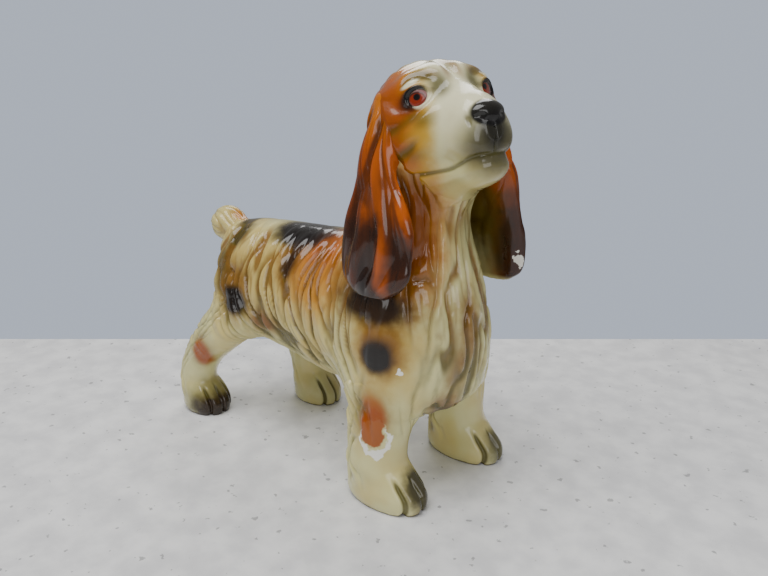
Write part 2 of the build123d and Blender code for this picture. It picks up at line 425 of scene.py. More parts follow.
@dataclass(frozen=True)
class Eyes:
    """Where the eyes are in the head's own frame, for the carving and for the paint.

    Attributes:
        centre: of the left eye, which the right one mirrors.
        yaw: the way that it faces, from straight ahead.
        tilt: how far its inner corner is raised.
        half: half length and half height of its opening.
    """

    centre: tuple[float, float, float] = (3.8, 14.2, 1.0)
    yaw: float = math.radians(56.0)
    tilt: float = math.radians(22.0)
    half: tuple[float, float] = (3.8, 2.8)


@dataclass(frozen=True)
class Ear:
    """One ear: a heavy flap that hangs from the side of the skull.

    Attributes:
        side: -1 for the dog's right, 1 for its left.
        root: the flap's upper end, in the design.
        length: from the root to the tip.
        rows: place down the flap, way ahead, way out, half width and half thickness.
    """

    side: int
    root: tuple[float, float, float]
    length: float
    rows: tuple

    def sections(self) -> list[tuple[float, ...]]:
        """The rows with their places in millimetres down from the root."""
        return [(place * self.length, *sizes) for place, *sizes in self.rows]

    def frame(self, points: Array) -> Array:
        """Design points in the flap's frame: ahead along the flap, outwards, and down from the root."""
        return (points - np.array(self.root)) * [1.0, self.side, -1.0]

    def place(self, local: Array) -> Array:
        """Points of the flap's frame in the design."""
        return local * [1.0, self.side, -1.0] + np.array(self.root)

    def shape(self) -> Shape:
        """The flap's own shape function."""
        loft = Loft(self.sections(), 2)
        return lambda points: loft(self.frame(points))


# ---------------------------------------------------------------------------------------------------
# Skins: rays, fillets and relief


@dataclass(frozen=True)
class Rays:
    """A grid of rays that leave a casting's centre line.

    Attributes:
        origin: (rows, columns, 3) places inside the casting.
        direction: (rows, columns, 3) unit vectors; rows run from one pole to the other, columns round.
        reach: the farthest that the skin can be along a ray.
    """

    origin: Array
    direction: Array
    reach: float


def fan(centre: Array, ahead: Array, up: Array, left: Array, tilt: Array, columns: int, reach: float,
        spread: Array | None = None) -> Rays:
    """Rays round a centre line: direction = ahead cos(tilt) + (up cos(a) + left sin(a)) sin(tilt).

    Args:
        centre: (rows, 3) places on the centre line.
        ahead: (rows, 3) or (3,) way along the line at each row.
        up: the same for the zero of the angle round the line.
        left: the same for a quarter turn.
        tilt: (rows,) angle from ahead, so 0 is one pole and pi the other.
        columns: number of rays round the line.
        reach: the farthest that the skin can be.
        spread: (rows,) way that a ray's start slides along up by cos(a), for flat castings.

    Returns:
        The rays.
    """
    angle = np.linspace(0.0, 2.0 * math.pi, columns, endpoint=False)
    shape = (len(tilt), 1, 3)
    ahead, up, left = (np.broadcast_to(axis, (len(tilt), 3)).reshape(shape) for axis in (ahead, up, left))
    round_ = up * np.cos(angle)[None, :, None] + left * np.sin(angle)[None, :, None]
    direction = ahead * np.cos(tilt)[:, None, None] + round_ * np.sin(tilt)[:, None, None]
    origin = np.broadcast_to(centre.reshape(shape), direction.shape).copy()
    if spread is not None:
        origin += up * (spread[:, None] * np.cos(angle)[None, :])[..., None]
    return Rays(origin, direction, reach)


def march(rays: Rays, inside: Shape, steps: int = 20, halvings: int = 9) -> Array:
    """Where each ray first leaves the solid: even steps out until the sign changes, then bisection.

    Args:
        rays: the grid of rays.
        inside: shape function, negative inside.
        steps: number of even steps.
        halvings: number of bisections.

    Returns:
        (rows, columns, 3) places on the skin.
    """
    origin, direction = rays.origin.reshape(-1, 3), rays.direction.reshape(-1, 3)
    low = np.zeros(len(origin))
    high = np.full(len(origin), rays.reach)
    going = np.arange(len(origin))
    for count in range(1, steps + 1):
        out = rays.reach * count / steps
        left_solid = inside(origin[going] + direction[going] * out) > 0.0
        high[going[left_solid]] = out
        low[going] = out - rays.reach / steps
        going = going[~left_solid]
        if not len(going):
            break
    for _ in range(halvings):
        middle = (low + high) / 2
        outside = inside(origin + direction * middle[:, None]) > 0.0
        high, low = np.where(outside, middle, high), np.where(outside, low, middle)
    return (origin + direction * ((low + high) / 2)[:, None]).reshape(rays.origin.shape)


def slope_of(shape: Shape, points: Array, width: float = 0.35) -> Array:
    """Unit normals: the shape function's differences along X, Y and Z, brought to length one."""
    here = shape(points)
    change = np.stack([shape(points + offset) - here for offset in np.eye(3) * width], axis=-1)
    return change / (np.linalg.norm(change, axis=-1, keepdims=True) + 1e-9)


@dataclass(frozen=True)
class Neighbour:
    """Another casting that this one is luted to, and the width of the fillet between them."""

    shape: Shape
    blend: float


OVERLAP = 0.12


def joined(own: Shape, neighbours: Sequence[Neighbour]) -> tuple[Shape, Shape]:
    """The casting as it shows, and the whole that it is part of.

    The whole is the smooth union of the casting and its neighbours. The casting keeps to the part of it
    that lies within a quarter of the fillet's width of its own shape, which is where the nearest
    neighbour's skin takes over.

    Args:
        own: the casting's own shape function.
        neighbours: what it is luted to.

    Returns:
        The trimmed shape function and the whole's.
    """
    def whole(points: Array) -> Array:
        """The smooth union of the casting and its neighbours."""
        result = own(points)
        for neighbour in neighbours:
            result = unite(result, neighbour.shape(points), neighbour.blend)
        return result

    def trimmed(points: Array) -> Array:
        """The whole, cut off beyond the casting's own part of it."""
        mine = own(points)
        result, nearest, margin = mine, np.full(mine.shape, np.inf), np.zeros(mine.shape)
        for neighbour in neighbours:
            other = neighbour.shape(points)
            result = unite(result, other, neighbour.blend)
            margin = np.where(other < nearest, neighbour.blend / 4.0, margin)
            nearest = np.minimum(nearest, other)
        return np.maximum(result, mine - margin - OVERLAP)

    return trimmed, whole


@dataclass
class Relief:
    """Relief over a skin: how far each point moves along its normal, and how deep it lies in a groove."""

    height: Array
    groove: Array

    def __add__(self, other: "Relief") -> "Relief":
        """Both reliefs together; the deeper groove counts."""
        return Relief(self.height + other.height, np.maximum(self.groove, other.groove))


def locks(place: Array, warp: Array, seed: int, bend: float = 0.6) -> tuple[Array, Array]:
    """Tapering locks of hair, as the bands between the zero surfaces of noise that is stretched along them.

    Args:
        place: (..., 2) or (..., 3) places in units of a lock's width, and of its length for the last one.
        warp: (..., 3) places in millimetres, which bend the locks.
        seed: picks another pattern.
        bend: how many widths a lock wanders.

    Returns:
        The rounded height of a lock, 0 to 1, and the depth of the groove beside it, 0 to 1.
    """
    wander = noise(warp / np.array([24.0, 24.0, 30.0]), seed + 1) * bend
    bent = place.copy()
    bent[..., 0] += wander
    field_ = noise(bent, seed)
    keen = 0.45 + 0.55 * step(-0.35, 0.4, noise(bent * 0.8, seed + 3))
    groove = step(0.36, 0.02, np.abs(field_)) * keen
    crown = np.sqrt(step(0.0, 0.55, np.abs(field_)))
    return crown, groove


@dataclass(frozen=True)
class Soft:
    """A soft-edged ellipsoid in the design, which raises or lowers how strong something is."""

    centre: tuple[float, float, float]
    radii: tuple[float, float, float]

    def weight(self, points: Array) -> Array:
        """1 in the middle, falling smoothly to 0 at one and a half radii."""
        reach = np.linalg.norm((points - np.array(self.centre)) / np.array(self.radii), axis=-1)
        return step(1.5, 0.5, reach)


@dataclass(frozen=True)
class Coat:
    """The carved coat of the body: one pattern in space, so it runs on from casting to casting.

    Attributes:
        depth: scale of the relief.
        width: of a lock.
        length: of a lock.
        axis: height of the line that the barrel's hair runs round.
        girth: millimetres of hair to a radian about that line.
        lane: how far to its own side each flank's pattern is read, in cells of the noise.
        smooth: where the coat lies almost smooth.
    """

    depth: float = 2.0
    width: float = 5.4
    length: float = 30.0
    axis: float = 70.0
    girth: float = 32.0
    lane: float = 3.3
    smooth: tuple[Soft, ...] = (
        Soft((9.0, -30.0, 62.0), (13.0, 14.0, 26.0)),
        Soft((9.0, 30.0, 60.0), (13.0, 14.0, 24.0)),
        Soft((-96.0, 0.0, 108.0), (14.0, 12.0, 7.0)),
        Soft((-60.0, 0.0, 108.0), (50.0, 20.0, 9.0)),
        Soft((-104.0, -26.0, 40.0), (16.0, 12.0, 12.0)),
    )

    def relief(self, points: Array) -> Relief:
        """Locks down the flanks, round the chest and along the neck.

        On the barrel the hair parts along the spine and runs round the body; it bows back at the middle
        of the flank and leans forward below it. On the chest and the neck it hangs down.
        """
        x, y, z = points[..., 0], points[..., 1], points[..., 2]
        front = step(-16.0, 6.0, x)
        round_body = self.girth * np.arctan2(z - self.axis, np.abs(y))
        bow = 0.007 * (z - 84.0) ** 2 * step(112.0, 96.0, z) + 0.35 * np.maximum(66.0 - z, 0.0)
        barrel = np.stack([
            (x - bow) / self.width, np.sign(y) * self.lane, round_body / self.length,
        ], axis=-1)
        chest = np.stack([x, y, z], axis=-1) / np.array([self.width, self.width, self.length]) / 1.15
        crown, groove = (b * (1.0 - front) + c * front for b, c in zip(
            locks(barrel, points, 11), locks(chest, points, 29)))
        fine, hair = (b * (1.0 - front) + c * front for b, c in zip(
            locks(barrel * [2.1, 1.0, 1.4], points, 47), locks(chest * 2.0, points, 53)))
        strength = np.ones_like(x)
        for soft in self.smooth:
            strength *= 1.0 - 0.9 * soft.weight(points)
        strength *= 1.0 - (1.0 - step(0.0, 7.0, np.abs(y))) * (1.0 - front)
        strength *= 1.0 - step(18.0, 6.0, np.hypot(y, z - self.axis)) * (1.0 - front)
        strength *= 1.0 - 0.6 * step(46.0, 38.0, z) * step(30.0, 10.0, np.abs(y))
        strength *= 0.35 + 0.65 * step(16.0, 34.0, z)
        strength *= 1.0 - 0.2 * front - 0.3 * step(92.0, 112.0, z) * front
        strength *= 1.0 - 0.6 * step(-96.0, -108.0, x) * step(74.0, 62.0, z)
        height = self.depth * ((crown - 0.7) * 1.2 - 0.25 * groove) + 0.25 * self.depth * (fine - 0.7)
        return Relief(height * strength, np.maximum(groove, 0.35 * hair) * strength)


@dataclass(frozen=True)
class Grid:
    """How finely a casting's skin is divided."""

    rows: int
    columns: int


def spaced(rows: Sequence[Sequence[float]], count: int) -> list[Array]:
    """Columns of a table read at an even number of places along its first column."""
    return Curve(rows)(np.linspace(rows[0][0], rows[-1][0], count))


def skin_mesh(
    name: str, points: Array, values: dict[str, Array], vectors: dict[str, Array],
) -> bpy.types.Object:
    """A closed mesh over a grid: rows of quads that run round, and a fan to a pole at each end.

    All the faces are turned over if the grid runs the other way, so that their normals point outwards.

    Args:
        name: of the piece.
        points: (rows, columns, 3) places in metres.
        values: number attributes on the grid.
        vectors: vector attributes on the grid.

    Returns:
        The piece, linked into the scene, with its own UV map.
    """
    rows, columns = points.shape[:2]
    count = rows * columns
    middle = points.mean((0, 1))
    across = np.cross(np.roll(points, -1, axis=1)[:-1] - points[:-1], points[1:] - points[:-1])
    inward = np.einsum("ijk,ijk->", across, points[:-1] - middle) < 0.0

    def with_poles(grid: Array) -> Array:
        """The grid's values in one list, with the mean of each end row for its pole."""
        flat = grid.reshape(count, -1)
        return np.vstack([flat, flat[:columns].mean(0), flat[-columns:].mean(0)])

    index = np.arange(count).reshape(rows, columns)
    onward = np.roll(index, -1, axis=1)
    quads = np.stack([index[:-1], onward[:-1], onward[1:], index[1:]], axis=-1).reshape(-1, 4)
    first = np.stack([np.full(columns, count), onward[0], index[0]], axis=-1)
    last = np.stack([np.full(columns, count + 1), index[-1], onward[-1]], axis=-1)
    fans = np.vstack([first, last])
    u = np.broadcast_to(np.arange(columns) / columns, (rows, columns))
    v = np.broadcast_to((np.arange(rows) / (rows - 1))[:, None], (rows, columns))
    quad_u = np.stack([u[:-1], u[:-1] + 1 / columns, u[:-1] + 1 / columns, u[:-1]], axis=-1)
    quad_v = np.stack([v[:-1], v[:-1], v[1:], v[1:]], axis=-1)
    fan_u = np.stack([u[0] + 0.5 / columns, u[0] + 1 / columns, u[0]], axis=-1)
    last_u = np.stack([u[0] + 0.5 / columns, u[0], u[0] + 1 / columns], axis=-1)
    margin = 0.5 / rows
    fan_v = np.broadcast_to([-margin, 0.0, 0.0], fan_u.shape)
    last_v = np.broadcast_to([1.0 + margin, 1.0, 1.0], fan_u.shape)
    uv = np.vstack([
        np.stack([quad_u.reshape(-1), quad_v.reshape(-1)], axis=-1),
        np.stack([np.vstack([fan_u, last_u]).reshape(-1), np.vstack([fan_v, last_v]).reshape(-1)], axis=-1),
    ])
    uv = np.clip(uv * [1.0, 1.0 - 2 * margin] + [0.0, margin], 0.0, 1.0)

    corners = np.concatenate([quads.reshape(-1), fans.reshape(-1)])
    if inward:
        order = np.concatenate([
            np.arange(quads.size).reshape(-1, 4)[:, ::-1].reshape(-1),
            quads.size + np.arange(fans.size).reshape(-1, 3)[:, ::-1].reshape(-1),
        ])
        corners, uv = corners[order], uv[order]

    mesh = bpy.data.meshes.new(name)
    starts = np.concatenate([np.arange(len(quads)) * 4, len(quads) * 4 + np.arange(len(fans)) * 3])
    mesh.vertices.add(count + 2)
    mesh.vertices.foreach_set("co", with_poles(points).astype(np.float32).reshape(-1))
    mesh.loops.add(len(corners))
    mesh.loops.foreach_set("vertex_index", corners.astype(np.int32))
    mesh.polygons.add(len(starts))
    mesh.polygons.foreach_set("loop_start", starts.astype(np.int32))
    mesh.update(calc_edges=True)
    mesh.uv_layers.new(name="skin").data.foreach_set("uv", uv.astype(np.float32).reshape(-1))
    for label, grid in values.items():
        attribute = mesh.attributes.new(label, "FLOAT", "POINT")
        attribute.data.foreach_set("value", with_poles(grid[..., None]).astype(np.float32).reshape(-1))
    for label, grid in vectors.items():
        attribute = mesh.attributes.new(label, "FLOAT_VECTOR", "POINT")
        attribute.data.foreach_set("vector", with_poles(grid).astype(np.float32).reshape(-1))
    mesh.shade_smooth()
    mesh.validate()
    piece = bpy.data.objects.new(name, mesh)
    bpy.context.scene.collection.objects.link(piece)
    return piece


# ---------------------------------------------------------------------------------------------------
# Castings


@dataclass
class Casting:
    """A casting that is luted to others: its shape, its rays and its relief.

    Attributes:
        name: of the piece.
        node: the CAD node that it stands for.
        slot: the record's material slot; not used.
        own: its own shape function.
        neighbours: what it is luted to.
        grid: how finely it is divided.
    """

    name: str
    node: str
    slot: str
    own: Shape
    neighbours: list[Neighbour]
    grid: Grid

    def rays(self) -> Rays:
        """Rays from the casting's centre line."""
        raise NotImplementedError

    def relief(self, points: Array, normals: Array) -> Relief:
        """The carving over the skin."""
        return COAT.relief(points)

    def pattern(self, points: Array) -> Array:
        """The coordinates that the casting's own paint reads."""
        return points

    def build(self, stand: Stand) -> bpy.types.Object:
        """Solve the skin, carve it and make its mesh.

        Args:
            stand: the design's place in the frame.

        Returns:
            The piece.
        """
        trimmed, whole = joined(self.own, self.neighbours)
        points = march(self.rays(), trimmed)
        normals = slope_of(whole, points)
        relief = self.relief(points, normals)
        carved = points + normals * relief.height[..., None]
        carved[..., 2] = np.maximum(carved[..., 2], 0.0)
        piece = skin_mesh(
            self.name, stand.place(carved), {"groove": relief.groove}, {"clay": self.pattern(points)},
        )
        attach(piece, "root")
        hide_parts(self.node)
        LOG.info("%s: %d faces", self.name, len(piece.data.polygons))
        return piece


COAT = Coat()


@dataclass
class Torso(Casting):
    """Barrel, chest and neck. Its rays turn with the body, about a line above the withers.

    Attributes:
        rump_x: middle of the dome of rays at the rump.
        pivot: the line's place in X and Z.
        middle_rows: along X, the height of the barrel's centre line.
        bend_rows: share of the way through the chest and the neck, turn about the pivot in degrees,
            and distance from it.
    """

    rump_x: float = -99.0
    pivot: tuple[float, float] = (-52.0, 150.0)
    middle_rows: tuple = ((-118.0, 77.0), (-90.0, 76.0), (-52.0, 73.0))
    bend_rows: tuple = (
        (0, 0, 77), (0.33, 30, 89), (0.56, 45, 81), (0.78, 60, 67), (0.93, 78, 56), (1, 89, 55),
    )

    def rays(self) -> Rays:
        """A dome of rays at the rump, upright rings along the barrel, then rings about the pivot."""
        dome, barrel = round(self.grid.rows * 0.13), round(self.grid.rows * 0.2)
        turned = self.grid.rows - dome - barrel
        tilt = np.concatenate([
            np.linspace(0.02, 0.5, dome, endpoint=False) * math.pi, np.full(barrel + turned, math.pi / 2),
        ])
        x = np.concatenate([
            np.full(dome, self.rump_x), np.linspace(self.rump_x, self.pivot[0], barrel, endpoint=False),
        ])
        upright = np.stack([x, 0.0 * x, Curve(self.middle_rows)(x)[0]], axis=-1)
        swing, away = spaced(self.bend_rows, turned)
        swing = np.radians(swing)
        down = np.stack([np.sin(swing), 0.0 * swing, -np.cos(swing)], axis=-1)
        centre = np.vstack([upright, np.array([self.pivot[0], 0.0, self.pivot[1]]) + down * away[:, None]])
        level = np.broadcast_to(UP, (dome + barrel, 3))
        back = np.broadcast_to(-AHEAD, (dome + barrel, 3))
        turned_back = np.stack([-np.cos(swing), 0.0 * swing, -np.sin(swing)], axis=-1)
        return fan(
            centre, np.vstack([back, turned_back]), np.vstack([level, -down]), LEFT,
            tilt, self.grid.columns, 64.0,
        )


@dataclass
class Leg(Casting):
    """A leg with its paw, from the sole up into the trunk."""

    limb: Limb
    toes: float = 1.2

    def rays(self) -> Rays:
        """Level rings up the leg's axis, after a flat sole of shrinking rings."""
        rows = self.limb.axis_rows()
        low = 24
        heights = np.concatenate([
            np.linspace(0.0, 6.0, low, endpoint=False),
            np.linspace(6.0, rows[-1][0] - 1.0, self.grid.rows - low),
        ])
        x, y, _, _ = Curve(rows)(heights)
        centre = np.stack([x, y, heights], axis=-1)
        return fan(
            centre, UP, AHEAD, LEFT, np.full(len(heights), math.pi / 2), self.grid.columns, 46.0,
        )

    def relief(self, points: Array, normals: Array) -> Relief:
        """The coat, feathering down the back of the leg, and toes cut into the front of the paw."""
        x, y, z = points[..., 0], points[..., 1], points[..., 2]
        mid_x, mid_y, _, _ = Curve(self.limb.axis_rows())(z)
        behind = step(2.0, -7.0, x - mid_x)
        angle = np.arctan2(y - mid_y, x - mid_x)
        crown, groove = locks(np.stack([angle * 2.2, z / 15.0], axis=-1), points, 71)
        feather = Relief(1.2 * (crown - 0.45 - 0.5 * groove) * behind * step(5.0, 14.0, z),
                         0.45 * groove * behind * step(4.0, 12.0, z))
        coat = COAT.relief(points)
        upper = step(26.0, 46.0, z)
        coat = Relief(coat.height * upper, 0.7 * coat.groove * upper)
        return coat + feather + self.toe_cuts(points)

    def toe_cuts(self, points: Array) -> Relief:
        """Three cuts that fan out over the front of the paw, and the four toes that swell between them."""
        ahead = points[..., 0] - self.limb.paw[0]
        aside = points[..., 1] - self.limb.paw[1]
        half = self.limb.width / 2
        fan_out = 1.0 + 0.012 * ahead
        front = step(self.limb.length * 0.06, self.limb.length * 0.24, ahead)
        low = step(self.limb.wrist * 0.95, self.limb.wrist * 0.6, points[..., 2])
        share = aside / (half * fan_out)
        cut = sum(bell(share - place, 0.06) for place in (-0.5, 0.02, 0.5))
        swell = np.abs(np.cos((share - 0.01) * math.pi * 1.02 + math.pi / 2)) ** 0.6
        return Relief(self.toes * front * low * (0.7 * swell - 0.35 - 1.35 * cut), front * low * cut)


@dataclass
class HeadCasting(Casting):
    """Skull, muzzle and jaw with the carved face."""

    head: Head
    eyes: Eyes = Eyes()
    mouth_rows: tuple = (
        (-9.0, -26.2), (0.0, -26.9), (10.0, -26.6), (17.0, -25.2), (22.0, -23.9), (27.0, -23.4),
    )

    def rays(self) -> Rays:
        """Rays from the nose to the nape, which lean forward over the face."""
        tilt, x, z = spaced([
            (0.0, 1.0, 15.0, -15.0), (0.2, 60.0, 14.0, -15.0), (0.36, 74.0, 8.0, -13.5),
            (0.5, 66.0, 0.0, -11.0), (0.62, 72.0, -4.0, -8.0), (0.76, 94.0, -10.0, -5.0),
            (1.0, 178.0, -14.0, -4.0),
        ], self.grid.rows)
        axes = self.head.pose.axes().T
        centre = self.head.pose.to_design(np.stack([x, 0.0 * x, z], axis=-1))
        return fan(centre, axes[0], axes[2], axes[1], np.radians(tilt), self.grid.columns, 44.0)

    def pattern(self, points: Array) -> Array:
        """Places in the head's own frame."""
        return self.head.pose.to_head(points)

    def eye_frame(self, local: Array) -> tuple[Array, Array, Array]:
        """Places about the nearer eye: towards its inner corner, across the lids, and out of the socket."""
        p = local.copy()
        p[..., 1] = np.abs(p[..., 1])
        offset = p - np.array(self.eyes.centre)
        c, s = math.cos(self.eyes.yaw), math.sin(self.eyes.yaw)
        level = offset[..., 0] * s - offset[..., 1] * c
        outward = offset[..., 0] * c + offset[..., 1] * s
        c, s = math.cos(self.eyes.tilt), math.sin(self.eyes.tilt)
        return level * c + offset[..., 2] * s, offset[..., 2] * c - level * s, outward

    def eye(self, p: Array) -> Relief:
        """A globe under heavy lids, with a crease above the brow that runs down into the stop."""
        inward, up, outward = self.eye_frame(p)
        near = step(14.0, 9.0, np.hypot(inward, up)) * step(-9.0, -4.0, outward)
        half_a, half_b = self.eyes.half
        deep = np.where(up > 0.0, half_b, half_b * 0.86)
        q = np.hypot(inward / half_a, up / deep)
        socket = -2.3 * bell(q, 1.9)
        globe = 1.6 * np.sqrt(np.clip(1.0 - (q * 0.9) ** 2, 0.0, 1.0))
        upper = step(-1.0, 1.0, up)
        lid = 1.3 * bell(q - 1.36, 0.3) * upper + 0.55 * bell(q - 1.25, 0.22) * (1.0 - upper)
        rim = bell(q - 1.0, 0.09)
        brow = np.hypot(inward / 7.6, up / 8.6)
        crease = bell(brow - 1.0, 0.17) * step(1.5, 6.0, up) * step(-7.0, -1.0, inward)
        height = socket + globe + lid - 0.3 * rim - 0.9 * crease
        return Relief(near * height, near * np.maximum(0.8 * crease, rim * upper))

    def relief(self, points: Array, normals: Array) -> Relief:
        """The eyes, nose, lips, the folds of the face and the hair behind it."""
        p = self.head.pose.to_head(points)
        x, y, z = p[..., 0], np.abs(p[..., 1]), p[..., 2]
        nostril = bell(np.hypot((y - 4.8) / 1.5, (z + 10.2) / 1.1), 1.0) * step(22.5, 25.0, x)
        wing = bell(np.hypot((y - 8.2) / 0.9, (z + 11.0) / 2.2), 1.0) * step(18.0, 21.0, x)
        slit = bell(y, 0.6) * step(-12.0, -13.5, z) * step(-24.0, -22.0, z) * step(21.0, 24.0, x)
        line, = Curve(self.mouth_rows)(x)
        lips = bell(z - line, 0.85) * step(-10.0, -7.0, x)
        overhang = step(0.6, -1.4, z - line) * step(-5.0, -1.5, z - line) * step(0.0, 10.0, x)
        pit = bell(np.hypot((x + 8.0) / 2.6, (z + 26.2) / 2.4), 1.0) * step(8.0, 11.0, y)
        furrow = bell(y, 2.2) * step(9.0, 3.0, x) * step(-4.0, 2.0, z) * step(-24.0, -8.0, x)
        side = step(9.0, 12.0, y)
        hollow = bell((z + 8.6) - 0.55 * (x + 1.0), 2.6) * step(9.0, 4.0, x) * step(-14.0, -6.0, x) * side
        fold = bell((z + 18.6) - 0.58 * (x + 1.0), 2.0) * step(8.0, 2.0, x) * step(-12.0, -5.0, x) * side
        height = -0.9 * nostril - 0.5 * wing - 0.7 * slit - 0.8 * lips - 0.5 * overhang
        face = Relief(
            height - 1.8 * pit - 0.9 * furrow - 1.1 * hollow - 0.9 * fold,
            np.maximum.reduce([
                nostril, 0.8 * wing, slit, 0.7 * lips, pit, 0.35 * furrow, 0.5 * hollow, 0.6 * fold,
            ]),
        )
        crown, groove = locks(np.stack([y / 5.2, z / 8.0, x / 26.0], axis=-1), p, 83)
        hairy = step(-8.0, -20.0, x) * step(-30.0, -22.0, z)
        fur = Relief(0.6 * (crown - 0.6 - 0.5 * groove) * hairy, 0.4 * groove * hairy)
        return face + self.eye(p) + fur


@dataclass
class EarCasting(Casting):
    """An ear flap of heavy wavy locks."""

    ear: Ear
    seed: int

    def rays(self) -> Rays:
        """Rings down the flap whose rays start along its breadth, then a half dome at the tip."""
        top, tip = 16, 34
        last = self.ear.length * 0.86
        drop = np.linspace(-3.0, last, self.grid.rows - tip - top)
        drop = np.concatenate([np.full(top, -3.0), drop, np.full(tip, last)])
        ahead, out, breadth, thick = Curve(self.ear.sections())(drop)
        tilt = np.concatenate([
            np.linspace(0.03, 0.5, top, endpoint=False), np.full(self.grid.rows - tip - top, 0.5),
            np.linspace(0.5, 0.985, tip + 1)[1:],
        ]) * math.pi
        centre = self.ear.place(np.stack([ahead, out, drop], axis=-1))
        return fan(centre, UP, AHEAD, LEFT, tilt, self.grid.columns, 30.0,
                   spread=np.maximum(breadth - thick, 0.0) * np.sin(tilt))

    def pattern(self, points: Array) -> Array:
        """Places in the flap's frame: ahead of its middle line, outwards, and down."""
        return self.ear.frame(points)

    def relief(self, points: Array, normals: Array) -> Relief:
        """Long locks that wave down the flap, deep on its outer face and shallow on the inner one."""
        local = self.ear.frame(points)
        ahead, drop = local[..., 0], local[..., 2]
        mid, _, half, _ = Curve(self.ear.sections())(drop)
        wave = 1.7 * np.sin(drop / 9.0 + self.seed) + 1.2 * np.sin(drop / 19.0 + 2.0 * self.seed)
        share = (ahead - mid + wave) / np.maximum(half, 5.0)
        crown, groove = locks(np.stack([share * 1.05, drop / 60.0], axis=-1), local, 90 + self.seed, 0.9)
        fine, hair = locks(np.stack([share * 2.6, drop / 50.0], axis=-1), local, 140 + self.seed, 0.9)
        low = step(self.ear.length * 0.5, self.ear.length * 0.66, drop)
        cleft = bell(share - 0.04, 0.08) * low * step(self.ear.length * 1.0, self.ear.length * 0.86, drop)
        face = normals[..., 1] * self.ear.side
        outer = 0.3 + 0.7 * step(-0.3, 0.3, face)
        shown = step(-2.0, 8.0, drop) * step(self.ear.length * 1.02, self.ear.length * 0.8, drop)
        height = 2.0 * (crown - 0.6) - 0.4 * groove + 0.3 * (fine - 0.7) - 1.1 * cleft
        return Relief(height * outer * shown, np.maximum.reduce([groove, 0.5 * hair, cleft]) * outer * shown)


@dataclass
class Tail(Casting):
    """The docked tail with its rounded end."""

    root: tuple[float, float, float] = (-104.0, 0.0, 92.0)
    rise: float = math.radians(18.0)
    length: float = 28.0
    radius: float = 8.8
    rows: tuple = ((0.0, 0.66), (0.3, 0.7), (0.5, 0.9), (0.7, 1.0), (0.88, 0.82), (1.0, 0.38))

    def frame(self, points: Array) -> Array:
        """Design points in the tail's frame: along it, aside and up."""
        offset = points - np.array(self.root)
        c, s = math.cos(self.rise), math.sin(self.rise)
        return np.stack([-offset[..., 0] * c + offset[..., 2] * s, offset[..., 1],
                         offset[..., 0] * s + offset[..., 2] * c], axis=-1)

    def __post_init__(self) -> None:
        """The tail's shape follows from its rows and its end."""
        rows = [(place * self.length, 0.0, 0.0, r * self.radius, r * self.radius) for place, r in self.rows]
        loft = Loft(rows, 0)
        end = (self.length * 0.7, 0.0, 0.0)
        radii = (self.length * 0.31, self.radius, self.radius)
        self.own = lambda points: unite(loft(self.frame(points)), ball(self.frame(points), end, radii), 1.0)

    def rays(self) -> Rays:
        """Rings along the tail, then a dome over its end."""
        dome = round(self.grid.rows * 0.5)
        along = np.concatenate([
            np.linspace(1.0, self.length * 0.68, self.grid.rows - dome), np.full(dome, self.length * 0.68),
        ])
        tilt = np.concatenate([
            np.full(self.grid.rows - dome, 0.5), np.linspace(0.5, 0.012, dome + 1)[1:],
        ]) * math.pi
        c, s = math.cos(self.rise), math.sin(self.rise)
        ahead, up = np.array([-c, 0.0, s]), np.array([s, 0.0, c])
        centre = np.array(self.root) + along[:, None] * ahead
        return fan(centre, ahead, up, -LEFT, tilt, self.grid.columns, 16.0)

    def relief(self, points: Array, normals: Array) -> Relief:
        """Shallow flutes of short hair."""
        local = self.frame(points)
        angle = np.arctan2(local[..., 1], local[..., 2])
        crown, groove = locks(np.stack([angle * 2.0, local[..., 0] / 16.0], axis=-1), local, 61)
        shown = step(3.0, 12.0, local[..., 0]) * step(29.0, 24.0, local[..., 0])
        return Relief(0.55 * (crown - 0.6 - 0.4 * groove) * shown, 0.4 * groove * shown)


# ---------------------------------------------------------------------------------------------------
# Paint and glaze


class Pigment(Enum):
    """The sprayed and brushed colours, as sRGB from 0 to 255."""

    CREAM = (208, 203, 146)
    WHITE = (230, 226, 192)
    STRAW = (190, 150, 46)
    AMBER = (184, 110, 6)
    OCHRE = (122, 78, 14)
    OLIVE = (78, 72, 22)
    ORANGE = (172, 78, 0)
    RUST = (150, 70, 0)
    SIENNA = (112, 54, 6)
    RUSSET = (92, 34, 2)
    UMBER = (34, 17, 8)
    BLACK = (9, 7, 9)
    GREY = (50, 47, 32)
    PINK = (150, 108, 108)
    RED = (138, 38, 8)
    CLAY = (236, 234, 224)

    @property
    def linear(self) -> tuple[float, float, float, float]:
        """The colour in scene-linear values."""
        return tuple(
            c / 12.92 if c <= 0.04045 else ((c + 0.055) / 1.055) ** 2.4
            for c in (v / 255 for v in self.value)
        ) + (1.0,)


class Value:
    """A shader socket that Python's operators work on: an expression adds its Math nodes."""

    def __init__(self, recipe: "Recipe", socket: Any) -> None:
        """Keep the socket and the recipe that it belongs to."""
        self.recipe, self.socket = recipe, socket

    def _math(self, operation: str, *others: Any) -> "Value":
        """One Math node on this value and others."""
        return self.recipe.node("ShaderNodeMath", {"operation": operation}, dict(enumerate((self, *others))))

    def __add__(self, other: Any) -> "Value":
        """Sum."""
        return self._math("ADD", other)

    __radd__ = __add__

    def __mul__(self, other: Any) -> "Value":
        """Product."""
        return self._math("MULTIPLY", other)

    __rmul__ = __mul__

    def __sub__(self, other: Any) -> "Value":
        """Difference."""
        return self._math("SUBTRACT", other)

    def __rsub__(self, other: Any) -> "Value":
        """Difference the other way round."""
        return self.recipe.node("ShaderNodeMath", {"operation": "SUBTRACT"}, {0: other, 1: self})

    def __abs__(self) -> "Value":
        """Size without sign."""
        return self._math("ABSOLUTE")


